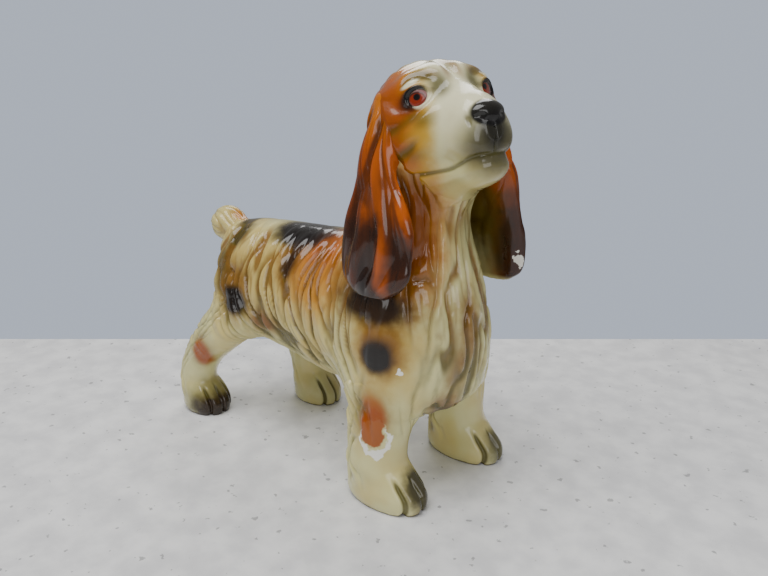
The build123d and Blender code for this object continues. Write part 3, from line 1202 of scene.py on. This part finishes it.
class Recipe:
    """One glaze's node tree, built a node at a time."""

    def __init__(self, name: str) -> None:
        """Start an empty material."""
        self.material = bpy.data.materials.new(name)
        self.material.use_nodes = True
        self.tree = self.material.node_tree
        self.tree.nodes.clear()

    def node(self, kind: str, settings: dict[str, Any] | None = None, inputs: dict[Any, Any] | None = None,
             output: Any = 0) -> Value | None:
        """Add a node.

        Args:
            kind: the node's type.
            settings: its own settings, which are set first.
            inputs: values or links of its sockets, by name or number.
            output: which output to return.

        Returns:
            The output as a value, or None for a node without outputs.
        """
        node = self.tree.nodes.new(kind)
        for key, value in (settings or {}).items():
            setattr(node, key, value)
        for key, value in (inputs or {}).items():
            if isinstance(value, Value):
                self.tree.links.new(value.socket, node.inputs[key])
            else:
                node.inputs[key].default_value = value
        return Value(self, node.outputs[output]) if len(node.outputs) else None

    def place(self, stand: Stand) -> Value:
        """The design's coordinates in millimetres, from Object coordinates."""
        metres = self.node("ShaderNodeTexCoord", output="Object")
        return self.node("ShaderNodeMapping", {"vector_type": "POINT"}, {
            "Vector": metres, "Location": (-stand.chest_x, 0.0, 0.0), "Scale": (1.0 / stand.unit,) * 3,
        })

    def attribute(self, name: str, output: str) -> Value:
        """A value that the skin carries."""
        return self.node("ShaderNodeAttribute", {"attribute_name": name}, output=output)

    def split(self, vector: Value) -> tuple[Value, Value, Value]:
        """A vector's three numbers."""
        node = self.node("ShaderNodeSeparateXYZ", None, {0: vector}).socket.node
        return tuple(Value(self, output) for output in node.outputs)

    def noise(self, vector: Value, scale: float, detail: float = 2.0) -> Value:
        """Noise about 0.5, with a scale in cells to a millimetre."""
        return self.node("ShaderNodeTexNoise", None,
                         {"Vector": vector, "Scale": scale, "Detail": detail}, "Fac")

    def ramp(self, value: Value, low: float, high: float) -> Value:
        """Smooth step from 0 at low to 1 at high; it falls where low is above high."""
        rising = self.node("ShaderNodeMapRange", {"interpolation_type": "SMOOTHSTEP"},
                           {"Value": value, "From Min": min(low, high), "From Max": max(low, high)})
        return rising if low < high else 1.0 - rising

    def mix(self, share: Any, first: Any, second: Any, blend: str = "MIX") -> Value:
        """A share of the second colour laid over the first."""
        return self.node("ShaderNodeMix", {"data_type": "RGBA", "blend_type": blend},
                         {0: share, 6: first, 7: second}, 2)

    def reach(self, vector: Value, centre: Sequence[float], radii: Sequence[float]) -> Value:
        """Distance from a centre, in radii of an ellipsoid."""
        offset = self.node("ShaderNodeVectorMath", {"operation": "SUBTRACT"}, {0: vector, 1: tuple(centre)})
        scaled = self.node("ShaderNodeVectorMath", {"operation": "DIVIDE"}, {0: offset, 1: tuple(radii)})
        return self.node("ShaderNodeVectorMath", {"operation": "LENGTH"}, {0: scaled}, "Value")


@dataclass(frozen=True)
class Spray:
    """A soft patch of sprayed pigment.

    Attributes:
        pigment: its colour.
        centre: of the patch, in design millimetres or the casting's own pattern coordinates.
        radii: of the patch.
        strength: how much it covers in the middle.
        soft: width of its edge, as a share of its radius.
        ragged: how far noise moves the edge.
    """

    pigment: Pigment
    centre: tuple[float, float, float]
    radii: tuple[float, float, float]
    strength: float = 1.0
    soft: float = 0.5
    ragged: float = 0.3

    def over(self, recipe: Recipe, vector: Value, grain: Value, colour: Any) -> Value:
        """The patch laid over a colour, its edge moved by the grain."""
        reach = recipe.reach(vector, self.centre, self.radii) + (grain - 0.5) * (2.0 * self.ragged)
        return recipe.mix(recipe.ramp(reach, 1.0 + self.soft, 1.0 - self.soft) * self.strength, colour,
                          self.pigment.linear)


BODY_SPRAYS = (
    Spray(Pigment.STRAW, (-60.0, -22.0, 84.0), (58.0, 22.0, 26.0), 0.55, 0.7, 0.5),
    Spray(Pigment.AMBER, (-37.0, -16.0, 94.0), (21.0, 22.0, 20.0), 0.85, 0.55, 0.4),
    Spray(Pigment.ORANGE, (-38.0, -10.0, 101.0), (13.0, 15.0, 10.0), 0.75, 0.6, 0.4),
    Spray(Pigment.OCHRE, (-91.5, -27.0, 75.0), (12.5, 9.0, 15.0), 0.9, 0.5),
    Spray(Pigment.BLACK, (-89.5, -29.0, 69.5), (9.5, 10.0, 7.6), 0.97, 0.35, 0.15),
    Spray(Pigment.UMBER, (-104.0, -20.0, 82.0), (5.5, 9.0, 14.0), 0.75, 0.5),
    Spray(Pigment.OCHRE, (-55.0, -18.0, 93.0), (8.0, 10.0, 14.0), 0.85, 0.5),
    Spray(Pigment.UMBER, (-55.5, -20.0, 91.0), (4.6, 8.0, 10.0), 0.9, 0.5),
    Spray(Pigment.UMBER, (-58.0, -5.0, 104.0), (20.0, 15.0, 8.5), 0.95, 0.35, 0.2),
    Spray(Pigment.BLACK, (-60.0, -6.0, 104.0), (14.0, 12.0, 7.0), 0.9, 0.4, 0.2),
    Spray(Pigment.UMBER, (-97.0, -13.0, 98.0), (6.5, 10.0, 7.0), 0.9, 0.5),
    Spray(Pigment.UMBER, (-102.0, -2.0, 103.0), (5.5, 8.0, 5.5), 0.9, 0.5),
    Spray(Pigment.STRAW, (-118.0, 0.0, 100.0), (9.0, 10.0, 9.0), 0.5, 0.7),
    Spray(Pigment.AMBER, (-113.0, 3.0, 104.0), (5.0, 6.0, 5.0), 0.85, 0.6),
    Spray(Pigment.OCHRE, (-113.0, -31.0, 37.0), (8.0, 7.0, 10.0), 0.6, 0.6),
    Spray(Pigment.RUST, (-113.5, -31.0, 36.0), (5.8, 8.0, 7.8), 0.97, 0.4, 0.15),
    Spray(Pigment.SIENNA, (-71.0, -24.0, 62.0), (9.0, 6.0, 6.0), 0.85, 0.6),
    Spray(Pigment.OCHRE, (4.5, -36.0, 44.0), (9.0, 9.0, 14.0), 0.55, 0.5),
    Spray(Pigment.RUST, (4.6, -36.0, 42.5), (6.2, 10.0, 9.2), 0.97, 0.35, 0.15),
    Spray(Pigment.STRAW, (8.0, -33.0, 69.0), (17.0, 10.0, 17.0), 0.6, 0.6),
    Spray(Pigment.OCHRE, (6.5, -33.0, 71.0), (10.5, 9.0, 11.5), 0.92, 0.5),
    Spray(Pigment.BLACK, (5.2, -34.0, 68.0), (7.0, 9.0, 7.6), 0.98, 0.35, 0.15),
    Spray(Pigment.OCHRE, (2.0, -28.0, 96.0), (24.0, 16.0, 17.0), 0.85, 0.5),
    Spray(Pigment.AMBER, (12.0, -18.0, 118.0), (13.0, 13.0, 30.0), 0.85, 0.5, 0.3),
    Spray(Pigment.SIENNA, (10.0, -18.0, 116.0), (10.5, 10.0, 28.0), 0.92, 0.5, 0.3),
    # Umber on the shoulder under the tip of the right ear: dark airbrushed brown with a painted shadow of
    # the ear.
    Spray(Pigment.UMBER, (2.0, -31.0, 88.0), (17.0, 10.0, 7.0), 0.95, 0.45, 0.3),
    Spray(Pigment.OLIVE, (18.0, 6.0, 116.0), (8.0, 7.0, 18.0), 0.45, 0.8),
    Spray(Pigment.OCHRE, (28.0, -5.0, 83.0), (7.0, 6.0, 11.0), 0.85, 0.7, 0.5),
    Spray(Pigment.OCHRE, (31.0, -6.0, 71.0), (6.0, 6.0, 8.0), 0.75, 0.7, 0.5),
    Spray(Pigment.OCHRE, (29.0, -11.0, 60.0), (6.0, 5.0, 9.0), 0.75, 0.7, 0.5),
    Spray(Pigment.SIENNA, (23.0, -11.0, 45.0), (8.0, 9.0, 7.0), 0.75, 0.7, 0.5),
    Spray(Pigment.UMBER, (22.0, -8.0, 40.0), (8.0, 11.0, 3.4), 0.7, 0.6),
    Spray(Pigment.GREY, (21.5, -24.0, 9.0), (10.0, 9.0, 10.5), 0.95, 0.3),
    Spray(Pigment.GREY, (27.5, 29.0, 8.0), (6.5, 8.6, 8.4), 0.85, 0.45),
    Spray(Pigment.OLIVE, (-114.0, -24.0, 7.0), (17.0, 15.0, 12.0), 0.7, 0.5),
    Spray(Pigment.UMBER, (-112.0, -24.0, 3.0), (14.0, 14.0, 9.0), 0.96, 0.35),
    Spray(Pigment.OLIVE, (-78.0, 23.0, 8.0), (14.0, 12.0, 9.0), 0.4, 0.7),
    Spray(Pigment.OCHRE, (-30.0, 24.0, 84.0), (16.0, 12.0, 15.0), 0.8, 0.6),
    Spray(Pigment.UMBER, (-30.0, 26.0, 86.0), (8.0, 11.0, 8.0), 0.9, 0.5),
    Spray(Pigment.OCHRE, (-94.0, 24.0, 74.0), (12.0, 12.0, 14.0), 0.8, 0.6),
    Spray(Pigment.BLACK, (-95.0, 26.0, 72.0), (6.4, 9.0, 7.4), 0.95, 0.45),
    Spray(Pigment.SIENNA, (3.0, 20.0, 112.0), (11.0, 10.0, 26.0), 0.85, 0.6),
    Spray(Pigment.RUST, (9.0, 36.0, 42.0), (6.0, 9.0, 9.0), 0.95, 0.4),
)
CHIPS = (
    Spray(Pigment.CLAY, (6.4, -36.5, 32.0), (6.4, 9.0, 7.8), 1.0, 0.04, 0.4),
    Spray(Pigment.CREAM, (6.0, -36.5, 34.4), (5.0, 9.0, 7.6), 1.0, 0.06, 0.5),
    Spray(Pigment.RUST, (5.2, -36.5, 37.0), (4.8, 9.0, 8.8), 0.95, 0.1, 0.4),
    Spray(Pigment.CLAY, (13.8, -30.0, 63.4), (1.2, 3.0, 1.9), 1.0, 0.05, 1.6),
)


@dataclass(frozen=True)
class Glaze:
    """A clear glaze over sprayed pigment.

    Attributes:
        name: of the material.
        ground: the colour under the sprays.
        roughness: of the glaze.
        clear: weight of the clear coat.
        clear_roughness: of the clear coat.
        rim_and_contact_shade: how much umber darkens the rim of the soles, for their dark unglazed edge and
            a painted contact shadow.
    """

    name: str
    ground: Pigment = Pigment.CREAM
    roughness: float = 0.2
    clear: float = 0.5
    clear_roughness: float = 0.06
    rim_and_contact_shade: float = 0.75

    def paint(self, recipe: Recipe, clay: Value, grain: Value, colour: Value) -> Value:
        """The casting's own paint over the sprays that run across the whole figurine."""
        return colour

    def groove_shade(self, recipe: Recipe, body: Value, grain: Value) -> tuple[Any, float]:
        """Painted shade for the grooves, and how much of it: olive below, ochre higher up."""
        _, _, height = recipe.split(body)
        high = recipe.ramp(height + (grain - 0.5) * 50.0, 50.0, 100.0)
        return recipe.mix(high, Pigment.OLIVE.linear, Pigment.OCHRE.linear), 0.85

    def build(self, stand: Stand) -> bpy.types.Material:
        """Mix the glaze: ground, sprays, painted shade in the grooves, bare chips, the dark sole rim with
        its painted contact shadow, and the clear coat.
        """
        recipe = Recipe(self.name)
        body = recipe.place(stand)
        clay = recipe.attribute("clay", "Vector")
        grain = recipe.noise(body, 0.16, 3.0)
        fray = recipe.noise(body, 0.28, 2.0)
        cloud = recipe.noise(body, 0.045, 2.0)
        colour = recipe.mix(recipe.ramp(cloud, 0.4, 0.7) * 0.35, self.ground.linear, Pigment.STRAW.linear)
        for spray in BODY_SPRAYS:
            colour = spray.over(recipe, body, grain, colour)
        colour = self.paint(recipe, clay, grain, colour)
        # Painted shade: the carving's grooves, creases and folds are darkened towards a shade colour, the
        # deeper ones more.
        groove = recipe.attribute("groove", "Fac")
        left, shade_amount = self.groove_shade(recipe, body, grain)
        share = recipe.ramp(groove + (grain - 0.5) * 0.4, 0.04, 0.62) * shade_amount
        colour = recipe.mix(share, colour, left, "DARKEN")
        for chip in CHIPS:
            colour = chip.over(recipe, body, fray, colour)
        # Painted contact shadow: umber along the bottom of the soles, with their dark unglazed edge.
        _, _, height = recipe.split(body)
        rim = recipe.ramp(height + (fray - 0.5) * 1.2, 1.1, 0.5) * self.rim_and_contact_shade
        colour = recipe.mix(rim, colour, Pigment.UMBER.linear)
        rough = recipe.noise(body, 0.4, 2.0) * 0.12 + (self.roughness - 0.06)
        pits = recipe.noise(body, 1.6, 3.0)
        bump = recipe.node("ShaderNodeBump", None, {"Strength": 0.05, "Distance": 0.0004, "Height": pits})
        shader = recipe.node("ShaderNodeBsdfPrincipled", None, {
            "Base Color": colour, "Roughness": rough, "Normal": bump, "IOR": 1.5,
            "Specular IOR Level": 0.25, "Coat Weight": self.clear, "Coat Roughness": self.clear_roughness,
        })
        recipe.node("ShaderNodeOutputMaterial", None, {"Surface": shader})
        return recipe.material


FACE_SPRAYS = (
    Spray(Pigment.WHITE, (12.0, 0.0, -6.0), (20.0, 15.0, 18.0), 0.75, 0.4, 0.15),
    Spray(Pigment.WHITE, (-2.0, 0.0, 14.0), (16.0, 10.0, 8.0), 0.7, 0.4, 0.15),
    Spray(Pigment.STRAW, (-11.0, 19.0, -7.0), (22.0, 14.0, 30.0), 0.95, 0.2, 0.12),
    Spray(Pigment.AMBER, (-13.0, 20.0, -7.0), (20.0, 14.0, 27.0), 0.9, 0.2, 0.12),
    Spray(Pigment.ORANGE, (-15.0, 21.0, -8.0), (18.0, 14.0, 25.0), 0.92, 0.25, 0.12),
    Spray(Pigment.SIENNA, (-10.0, 21.0, -12.0), (10.0, 11.0, 20.0), 0.75, 0.5, 0.12),
    Spray(Pigment.STRAW, (2.0, 15.0, -13.0), (7.0, 6.0, 4.6), 0.8, 0.6, 0.1),
    Spray(Pigment.OLIVE, (4.0, 14.6, -7.5), (6.0, 5.0, 3.4), 0.85, 0.7, 0.1),
    Spray(Pigment.OLIVE, (-4.0, 18.0, -11.5), (6.0, 5.0, 3.2), 0.75, 0.7, 0.1),
    Spray(Pigment.OLIVE, (-1.0, 17.0, -19.0), (6.5, 5.0, 2.8), 0.75, 0.7, 0.1),
    # Painted shadow: olive in the stop between the brows.
    Spray(Pigment.OLIVE, (7.4, 7.4, 3.8), (4.4, 3.6, 6.0), 0.85, 0.7, 0.1),
    # Painted shade: ochre along the crease above the brow.
    Spray(Pigment.OCHRE, (4.0, 12.0, 9.4), (4.6, 5.0, 2.4), 0.75, 0.7, 0.1),
    Spray(Pigment.OCHRE, (2.0, 2.6, 12.0), (14.0, 1.6, 6.0), 0.7, 0.8, 0.3),
    Spray(Pigment.GREY, (24.5, 0.0, -20.0), (9.5, 12.0, 11.5), 0.9, 0.45, 0.12),
    Spray(Pigment.BLACK, (26.0, 0.0, -15.5), (5.0, 4.4, 7.0), 0.85, 0.55, 0.1),
    Spray(Pigment.BLACK, (25.2, 0.0, -9.3), (5.6, 7.8, 5.0), 0.98, 0.12, 0.05),
)


@dataclass(frozen=True)
class FaceGlaze(Glaze):
    """The head's glaze, with the face painted on in the head's own coordinates.

    Attributes:
        eyes: where the eyes are.
        opening: half length and half height of the painted eyeball.
        look: how far the left iris is moved towards the nose, so both eyes look the same way.
    """

    eyes: Eyes = Eyes()
    opening: tuple[float, float] = (3.6, 2.6)
    look: float = 2.6

    def groove_shade(self, recipe: Recipe, body: Value, grain: Value) -> tuple[Any, float]:
        """Painted shade in the folds of the face, in olive."""
        return Pigment.OLIVE.linear, 0.7

    def paint(self, recipe: Recipe, clay: Value, grain: Value, colour: Value) -> Value:
        """The mask, the painted shadows and highlights, the nose and both eyes, mirrored but for the way
        that they look.
        """
        x, y, z = recipe.split(clay)
        both = recipe.node("ShaderNodeCombineXYZ", None, {"X": x, "Y": abs(y), "Z": z})
        for spray in FACE_SPRAYS:
            colour = spray.over(recipe, both, grain, colour)
        centre_x, centre_y, centre_z = self.eyes.centre
        c, s = math.cos(self.eyes.yaw), math.sin(self.eyes.yaw)
        level = (x - centre_x) * s - (abs(y) - centre_y) * c
        rise = z - centre_z
        c, s = math.cos(self.eyes.tilt), math.sin(self.eyes.tilt)
        eye = recipe.node("ShaderNodeCombineXYZ", None, {
            "X": level * c + rise * s, "Y": rise * c - level * s, "Z": (x + abs(y)) * 0.1 - 2.0,
        })
        moved = recipe.node("ShaderNodeCombineXYZ", None, {"X": recipe.ramp(y, -1.0, 1.0) * self.look})
        gaze = recipe.node("ShaderNodeVectorMath", {"operation": "SUBTRACT"}, {0: eye, 1: moved})
        through = 9.0
        opening = recipe.ramp(recipe.reach(eye, (0.0, 0.0, 0.0), (*self.opening, through)), 1.05, 0.93)

        def brush(pigment: Pigment, at: tuple[float, float], radii: tuple[float, float], share: Any,
                  edge: float, under: Value, place: Value = eye) -> Value:
            """One oval of pigment laid over the colour under it, in the eye's own coordinates."""
            reach = recipe.reach(place, (*at, 0.0), (*radii, through))
            return recipe.mix(recipe.ramp(reach, 1.0 + edge, 1.0 - edge) * share, under, pigment.linear)

        # Painted highlight: white along the ridge of the lid's fold above the eye.
        colour = brush(Pigment.WHITE, (-0.4, 6.2), (3.8, 1.2), 0.95, 0.3, colour)
        colour = brush(Pigment.RUSSET, (-3.8, 0.2), (5.4, 4.2), 0.85, 0.45, colour)
        colour = brush(Pigment.UMBER, (-2.4, 0.9), (4.8, 3.4), 0.95, 0.3, colour)
        colour = brush(Pigment.BLACK, (-0.6, 1.6), (4.5, 3.0), 0.97, 0.18, colour)
        # Painted highlight: a white crescent on the lower lid.
        colour = brush(Pigment.WHITE, (1.0, -1.7), (3.9, 2.3), 0.7, 0.2, colour)
        colour = recipe.mix(opening, colour, Pigment.PINK.linear)
        colour = brush(Pigment.UMBER, (-1.1, -0.8), (3.6, 3.1), opening, 0.12, colour, gaze)
        colour = brush(Pigment.RED, (-1.1, -1.0), (3.3, 2.7), opening, 0.16, colour, gaze)
        return brush(Pigment.BLACK, (-0.2, 0.2), (1.3, 1.15), opening, 0.2, colour, gaze)


@dataclass(frozen=True)
class EarGlaze(Glaze):
    """An ear's glaze, painted in the flap's own coordinates: ahead, outwards and down."""

    ground: Pigment = Pigment.ORANGE
    sprays: tuple[Spray, ...] = ()

    def groove_shade(self, recipe: Recipe, body: Value, grain: Value) -> tuple[Any, float]:
        """Painted shade between the locks, in dark brown."""
        return Pigment.UMBER.linear, 0.7

    def paint(self, recipe: Recipe, clay: Value, grain: Value, colour: Value) -> Value:
        """The flap's own sprays."""
        colour = recipe.mix(1.0, colour, self.ground.linear)
        fray = recipe.noise(clay, 0.45, 4.0)
        for spray in self.sprays:
            colour = spray.over(recipe, clay, fray if spray.pigment is Pigment.CLAY else grain, colour)
        return colour


RIGHT_EAR = (
    Spray(Pigment.AMBER, (0.0, 0.0, -2.0), (12.0, 20.0, 12.0), 0.6, 0.8, 0.1),
    Spray(Pigment.RUSSET, (-6.0, 0.0, 36.0), (5.0, 30.0, 26.0), 0.75, 0.6, 0.2),
    Spray(Pigment.SIENNA, (7.0, 0.0, 38.0), (3.0, 30.0, 20.0), 0.6, 0.7, 0.2),
    Spray(Pigment.UMBER, (4.0, 0.0, 68.0), (30.0, 40.0, 29.0), 0.93, 0.2, 0.2),
    Spray(Pigment.RUSSET, (-6.0, 0.0, 62.0), (5.5, 40.0, 12.0), 0.65, 0.7, 0.3),
    Spray(Pigment.ORANGE, (11.5, 0.0, 58.0), (3.6, 40.0, 14.0), 0.9, 0.5, 0.2),
    Spray(Pigment.BLACK, (2.5, 0.0, 70.0), (3.0, 40.0, 12.0), 0.85, 0.6, 0.2),
    Spray(Pigment.UMBER, (4.0, 0.0, 76.0), (20.0, 40.0, 6.5), 0.9, 0.5, 0.2),
)
LEFT_EAR = (
    Spray(Pigment.RUSSET, (-4.0, 0.0, 46.0), (12.0, 40.0, 26.0), 0.8, 0.6, 0.2),
    Spray(Pigment.OCHRE, (-5.0, 2.0, 58.0), (17.0, 9.0, 30.0), 0.95, 0.4, 0.3),
    Spray(Pigment.OLIVE, (-5.0, 2.0, 54.0), (12.0, 9.0, 24.0), 0.8, 0.6, 0.4),
    Spray(Pigment.CREAM, (-6.0, 2.0, 70.0), (9.0, 9.0, 12.0), 0.5, 0.8, 0.4),
    Spray(Pigment.UMBER, (13.0, 6.0, 60.0), (9.0, 20.0, 30.0), 0.92, 0.5, 0.2),
    Spray(Pigment.UMBER, (0.0, 16.0, 60.0), (30.0, 9.0, 26.0), 0.9, 0.5, 0.2),
    Spray(Pigment.CREAM, (0.0, 6.0, 75.5), (18.0, 14.0, 3.0), 0.6, 0.5, 0.3),
    Spray(Pigment.CLAY, (14.8, 7.0, 63.0), (1.9, 8.0, 3.4), 1.0, 0.05, 2.2),
)


# ---------------------------------------------------------------------------------------------------
# The figurine and the table


@dataclass(frozen=True)
class Table:
    """Floor, light and camera.

    Attributes:
        eye: the camera's place in the design.
        azimuth: the camera's turn from looking along +Y.
        elevation: how far it looks down.
        lens: its focal length in millimetres.
        depth: from the camera's foot to the far edge of the floor, in the design.
        margin: how far the floor reaches behind the camera, and half of what it does to each side.
        target: what the lamps face, in metres.
        lamps: name, place in metres, width in metres and power in watts of each soft box.
        wall: colour and strength of the surround as it is seen.
        room: colour and strength of the light that it gives.
    """

    eye: tuple[float, float, float] = (171.5, -234.4, 183.9)
    azimuth: float = math.radians(38.9)
    elevation: float = math.radians(18.4)
    lens: float = 33.4
    depth: float = 444.0
    margin: float = 420.0
    target: tuple[float, float, float] = (0.0, 0.0, 0.09)
    lamps: tuple = (
        ("key", (-0.05, -0.35, 1.1), 0.8, 12.5),
        ("fill", (0.95, -0.7, 0.5), 0.6, 3.5),
        ("rim", (-0.5, 0.7, 0.8), 0.6, 4.0),
    )
    wall: tuple = ((0.42, 0.47, 0.56, 1.0), 1.2)
    room: tuple = ((0.50, 0.50, 0.50, 1.0), 0.5)

    def floor(self, stand: Stand) -> None:
        """A pale sheet under the figurine, whose far edge shows level behind it."""
        away = np.array([-math.sin(self.azimuth), math.cos(self.azimuth)])
        aside = np.array([math.cos(self.azimuth), math.sin(self.azimuth)])
        start = np.array(self.eye[:2])
        corners = [
            [*(start + away * out + aside * side), 0.0]
            for out, side in (
                (-self.margin, -2.0 * self.margin), (-self.margin, 2.0 * self.margin),
                (self.depth, 2.0 * self.margin), (self.depth, -2.0 * self.margin),
            )
        ]
        mesh = bpy.data.meshes.new("floor")
        mesh.from_pydata(stand.place(np.array(corners)).tolist(), [], [(0, 1, 2, 3)])
        floor = bpy.data.objects.new("floor", mesh)
        bpy.context.scene.collection.objects.link(floor)
        recipe = Recipe("floor_paper")
        place = recipe.place(stand)
        cloud = recipe.noise(place, 0.07, 12.0)
        fleck = recipe.ramp(recipe.noise(place, 0.2, 6.0), 0.66, 0.68)
        shade, pale, dark = (0.64, 0.64, 0.65, 1.0), (0.80, 0.80, 0.80, 1.0), (0.15, 0.15, 0.15, 1.0)
        colour = recipe.mix(recipe.ramp(cloud, 0.3, 0.7), shade, pale)
        colour = recipe.mix(fleck * 0.6, colour, dark)
        shader = recipe.node("ShaderNodeBsdfPrincipled", None, {"Base Color": colour, "Roughness": 0.6})
        recipe.node("ShaderNodeOutputMaterial", None, {"Surface": shader})
        mesh.materials.append(recipe.material)

    def lights(self) -> None:
        """Three soft boxes and a grey surround."""
        for name, at, size, power in self.lamps:
            data = bpy.data.lights.new(name, "AREA")
            data.size, data.energy = size, power
            light = bpy.data.objects.new(name, data)
            light.location = at
            light.rotation_euler = (Vector(self.target) - Vector(at)).to_track_quat("-Z", "Y").to_euler()
            bpy.context.scene.collection.objects.link(light)
        world = bpy.data.worlds.new("surround")
        world.use_nodes = True
        tree = world.node_tree
        wall, room = tree.nodes["Background"], tree.nodes.new("ShaderNodeBackground")
        for node, (colour, strength) in ((wall, self.wall), (room, self.room)):
            node.inputs["Color"].default_value = colour
            node.inputs["Strength"].default_value = strength
        path, either = tree.nodes.new("ShaderNodeLightPath"), tree.nodes.new("ShaderNodeMixShader")
        for number, socket in enumerate((path.outputs["Is Camera Ray"], room.outputs[0], wall.outputs[0])):
            tree.links.new(socket, either.inputs[number])
        tree.links.new(either.outputs[0], tree.nodes["World Output"].inputs["Surface"])
        bpy.context.scene.world = world

    def camera(self, stand: Stand) -> None:
        """The camera, level from side to side and tipped down by the elevation."""
        data = bpy.data.cameras.new("camera")
        data.lens = self.lens
        camera = bpy.data.objects.new("camera", data)
        camera.location = stand.place(np.array(self.eye))
        back = Vector((
            math.sin(self.azimuth) * math.cos(self.elevation),
            -math.cos(self.azimuth) * math.cos(self.elevation),
            math.sin(self.elevation),
        ))
        camera.rotation_euler = (-back).to_track_quat("-Z", "Y").to_euler()
        bpy.context.scene.collection.objects.link(camera)
        bpy.context.scene.camera = camera

    def build(self, stand: Stand) -> None:
        """Set the table."""
        self.floor(stand)
        self.lights()
        self.camera(stand)


EAR_RIGHT_ROWS = (
    (-0.02, -0.5, -3.6, 1.5, 1.0),
    (0.09, -0.2, -0.6, 4.6, 2.8),
    (0.22, 0.5, 2.2, 6.2, 3.6),
    (0.33, 2.0, 3.8, 8.4, 4.0),
    (0.46, 4.6, 5.6, 12.0, 4.4),
    (0.62, 6.0, 7.4, 16.4, 4.6),
    (0.74, 5.6, 8.6, 17.8, 4.8),
    (0.86, 5.2, 9.2, 17.0, 4.8),
    (0.94, 4.4, 9.4, 13.8, 4.4),
    (1.0, 3.6, 9.4, 8.5, 3.0),
)
EAR_LEFT_ROWS = (
    (-0.06, 0.5, -3.6, 1.5, 1.0),
    (0.06, 0.2, -1.0, 4.6, 2.8),
    (0.2, 1.0, 2.2, 7.0, 3.6),
    (0.32, 1.0, 3.8, 10.5, 4.0),
    (0.46, -1.0, 5.6, 14.8, 4.4),
    (0.6, -2.3, 7.4, 17.3, 4.6),
    (0.72, -1.6, 8.6, 18.4, 4.8),
    (0.84, -0.2, 9.2, 17.2, 4.8),
    (0.94, 1.3, 9.4, 13.4, 4.4),
    (1.0, 2.0, 9.4, 7.0, 3.0),
)


def castings() -> list[Casting]:
    """The nine castings of the figurine, with what each is luted to."""
    trunk, head = Trunk(), Head()
    trunk_shape, head_shape = trunk.shape(), head.shape()
    fore_top, hind_top = 64.0, 70.0
    limbs = {
        "foreleg_right": Limb(
            (FORE_PAW_AHEAD, -27.0), (0.5, -17.0, fore_top), 40.0, 24.0, 24.0, FORELEG_ROWS,
        ),
        "foreleg_left": Limb((10.5, 27.0), (5.5, 17.0, fore_top), 40.0, 24.0, 24.0, FORELEG_ROWS),
        "hindleg_right": Limb((-123.0, -23.0), (-93.0, -13.2, hind_top), 29.0, 22.0, 18.0, HINDLEG_ROWS),
        "hindleg_left": Limb((-84.0, 23.0), (-93.0, 13.2, hind_top), 29.0, 22.0, 18.0, HINDLEG_ROWS),
    }
    ears = {
        "ear_right": Ear(-1, (-3.0, -21.5, 165.0), 72.5, EAR_RIGHT_ROWS),
        "ear_left": Ear(1, (18.5, 21.5, 163.0), 74.0, EAR_LEFT_ROWS),
    }
    leg_fillet, head_fillet, ear_fillet, tail_fillet = 14.0, 12.0, 9.0, 7.0
    tail = Tail("tail_stub", "tail", "cream_glaze", trunk_shape, [Neighbour(trunk_shape, tail_fillet)],
                Grid(110, 150))
    limb_shapes = {name: limb.shape() for name, limb in limbs.items()}
    ear_shapes = {name: ear.shape() for name, ear in ears.items()}
    parts: list[Casting] = [
        Torso("torso_casting", "torso", "cream_glaze", trunk_shape, [
            *(Neighbour(shape, leg_fillet) for shape in limb_shapes.values()),
            Neighbour(tail.own, tail_fillet), Neighbour(head_shape, head_fillet),
        ], Grid(320, 300)),
        HeadCasting("head_casting", "head", "cream_glaze", head_shape, [
            Neighbour(trunk_shape, head_fillet),
            *(Neighbour(shape, ear_fillet) for shape in ear_shapes.values()),
        ], Grid(310, 310), head),
        tail,
    ]
    for name, limb in limbs.items():
        parts.append(Leg(f"{name}_casting", name, "cream_glaze", limb_shapes[name],
                         [Neighbour(trunk_shape, leg_fillet)], Grid(190, 220), limb))
    for (name, ear), seed in zip(ears.items(), (5, 8)):
        parts.append(EarCasting(f"{name}_flap", name, "russet_glaze", ear_shapes[name],
                                [Neighbour(head_shape, ear_fillet)], Grid(250, 240), ear, seed))
    return parts


def main() -> None:
    """Build the figurine and set the table."""
    logging.basicConfig(level=logging.INFO, format="%(name)s %(message)s")
    stand = Stand.from_frame(DESIGN_HEIGHT, FORE_PAW_AHEAD)
    LOG.info("unit %.6f m, chest at %.2f", stand.unit, stand.chest_x)
    glazes = {
        "head": FaceGlaze("face_glaze").build(stand),
        "ear_right": EarGlaze("ear_right_glaze", sprays=RIGHT_EAR).build(stand),
        "ear_left": EarGlaze("ear_left_glaze", sprays=LEFT_EAR).build(stand),
    }
    body = Glaze("body_glaze").build(stand)
    for casting in castings():
        piece = casting.build(stand)
        piece.data.materials.append(glazes.get(casting.node, body))
    Table().build(stand)


if __name__ == "__main__":
    main()
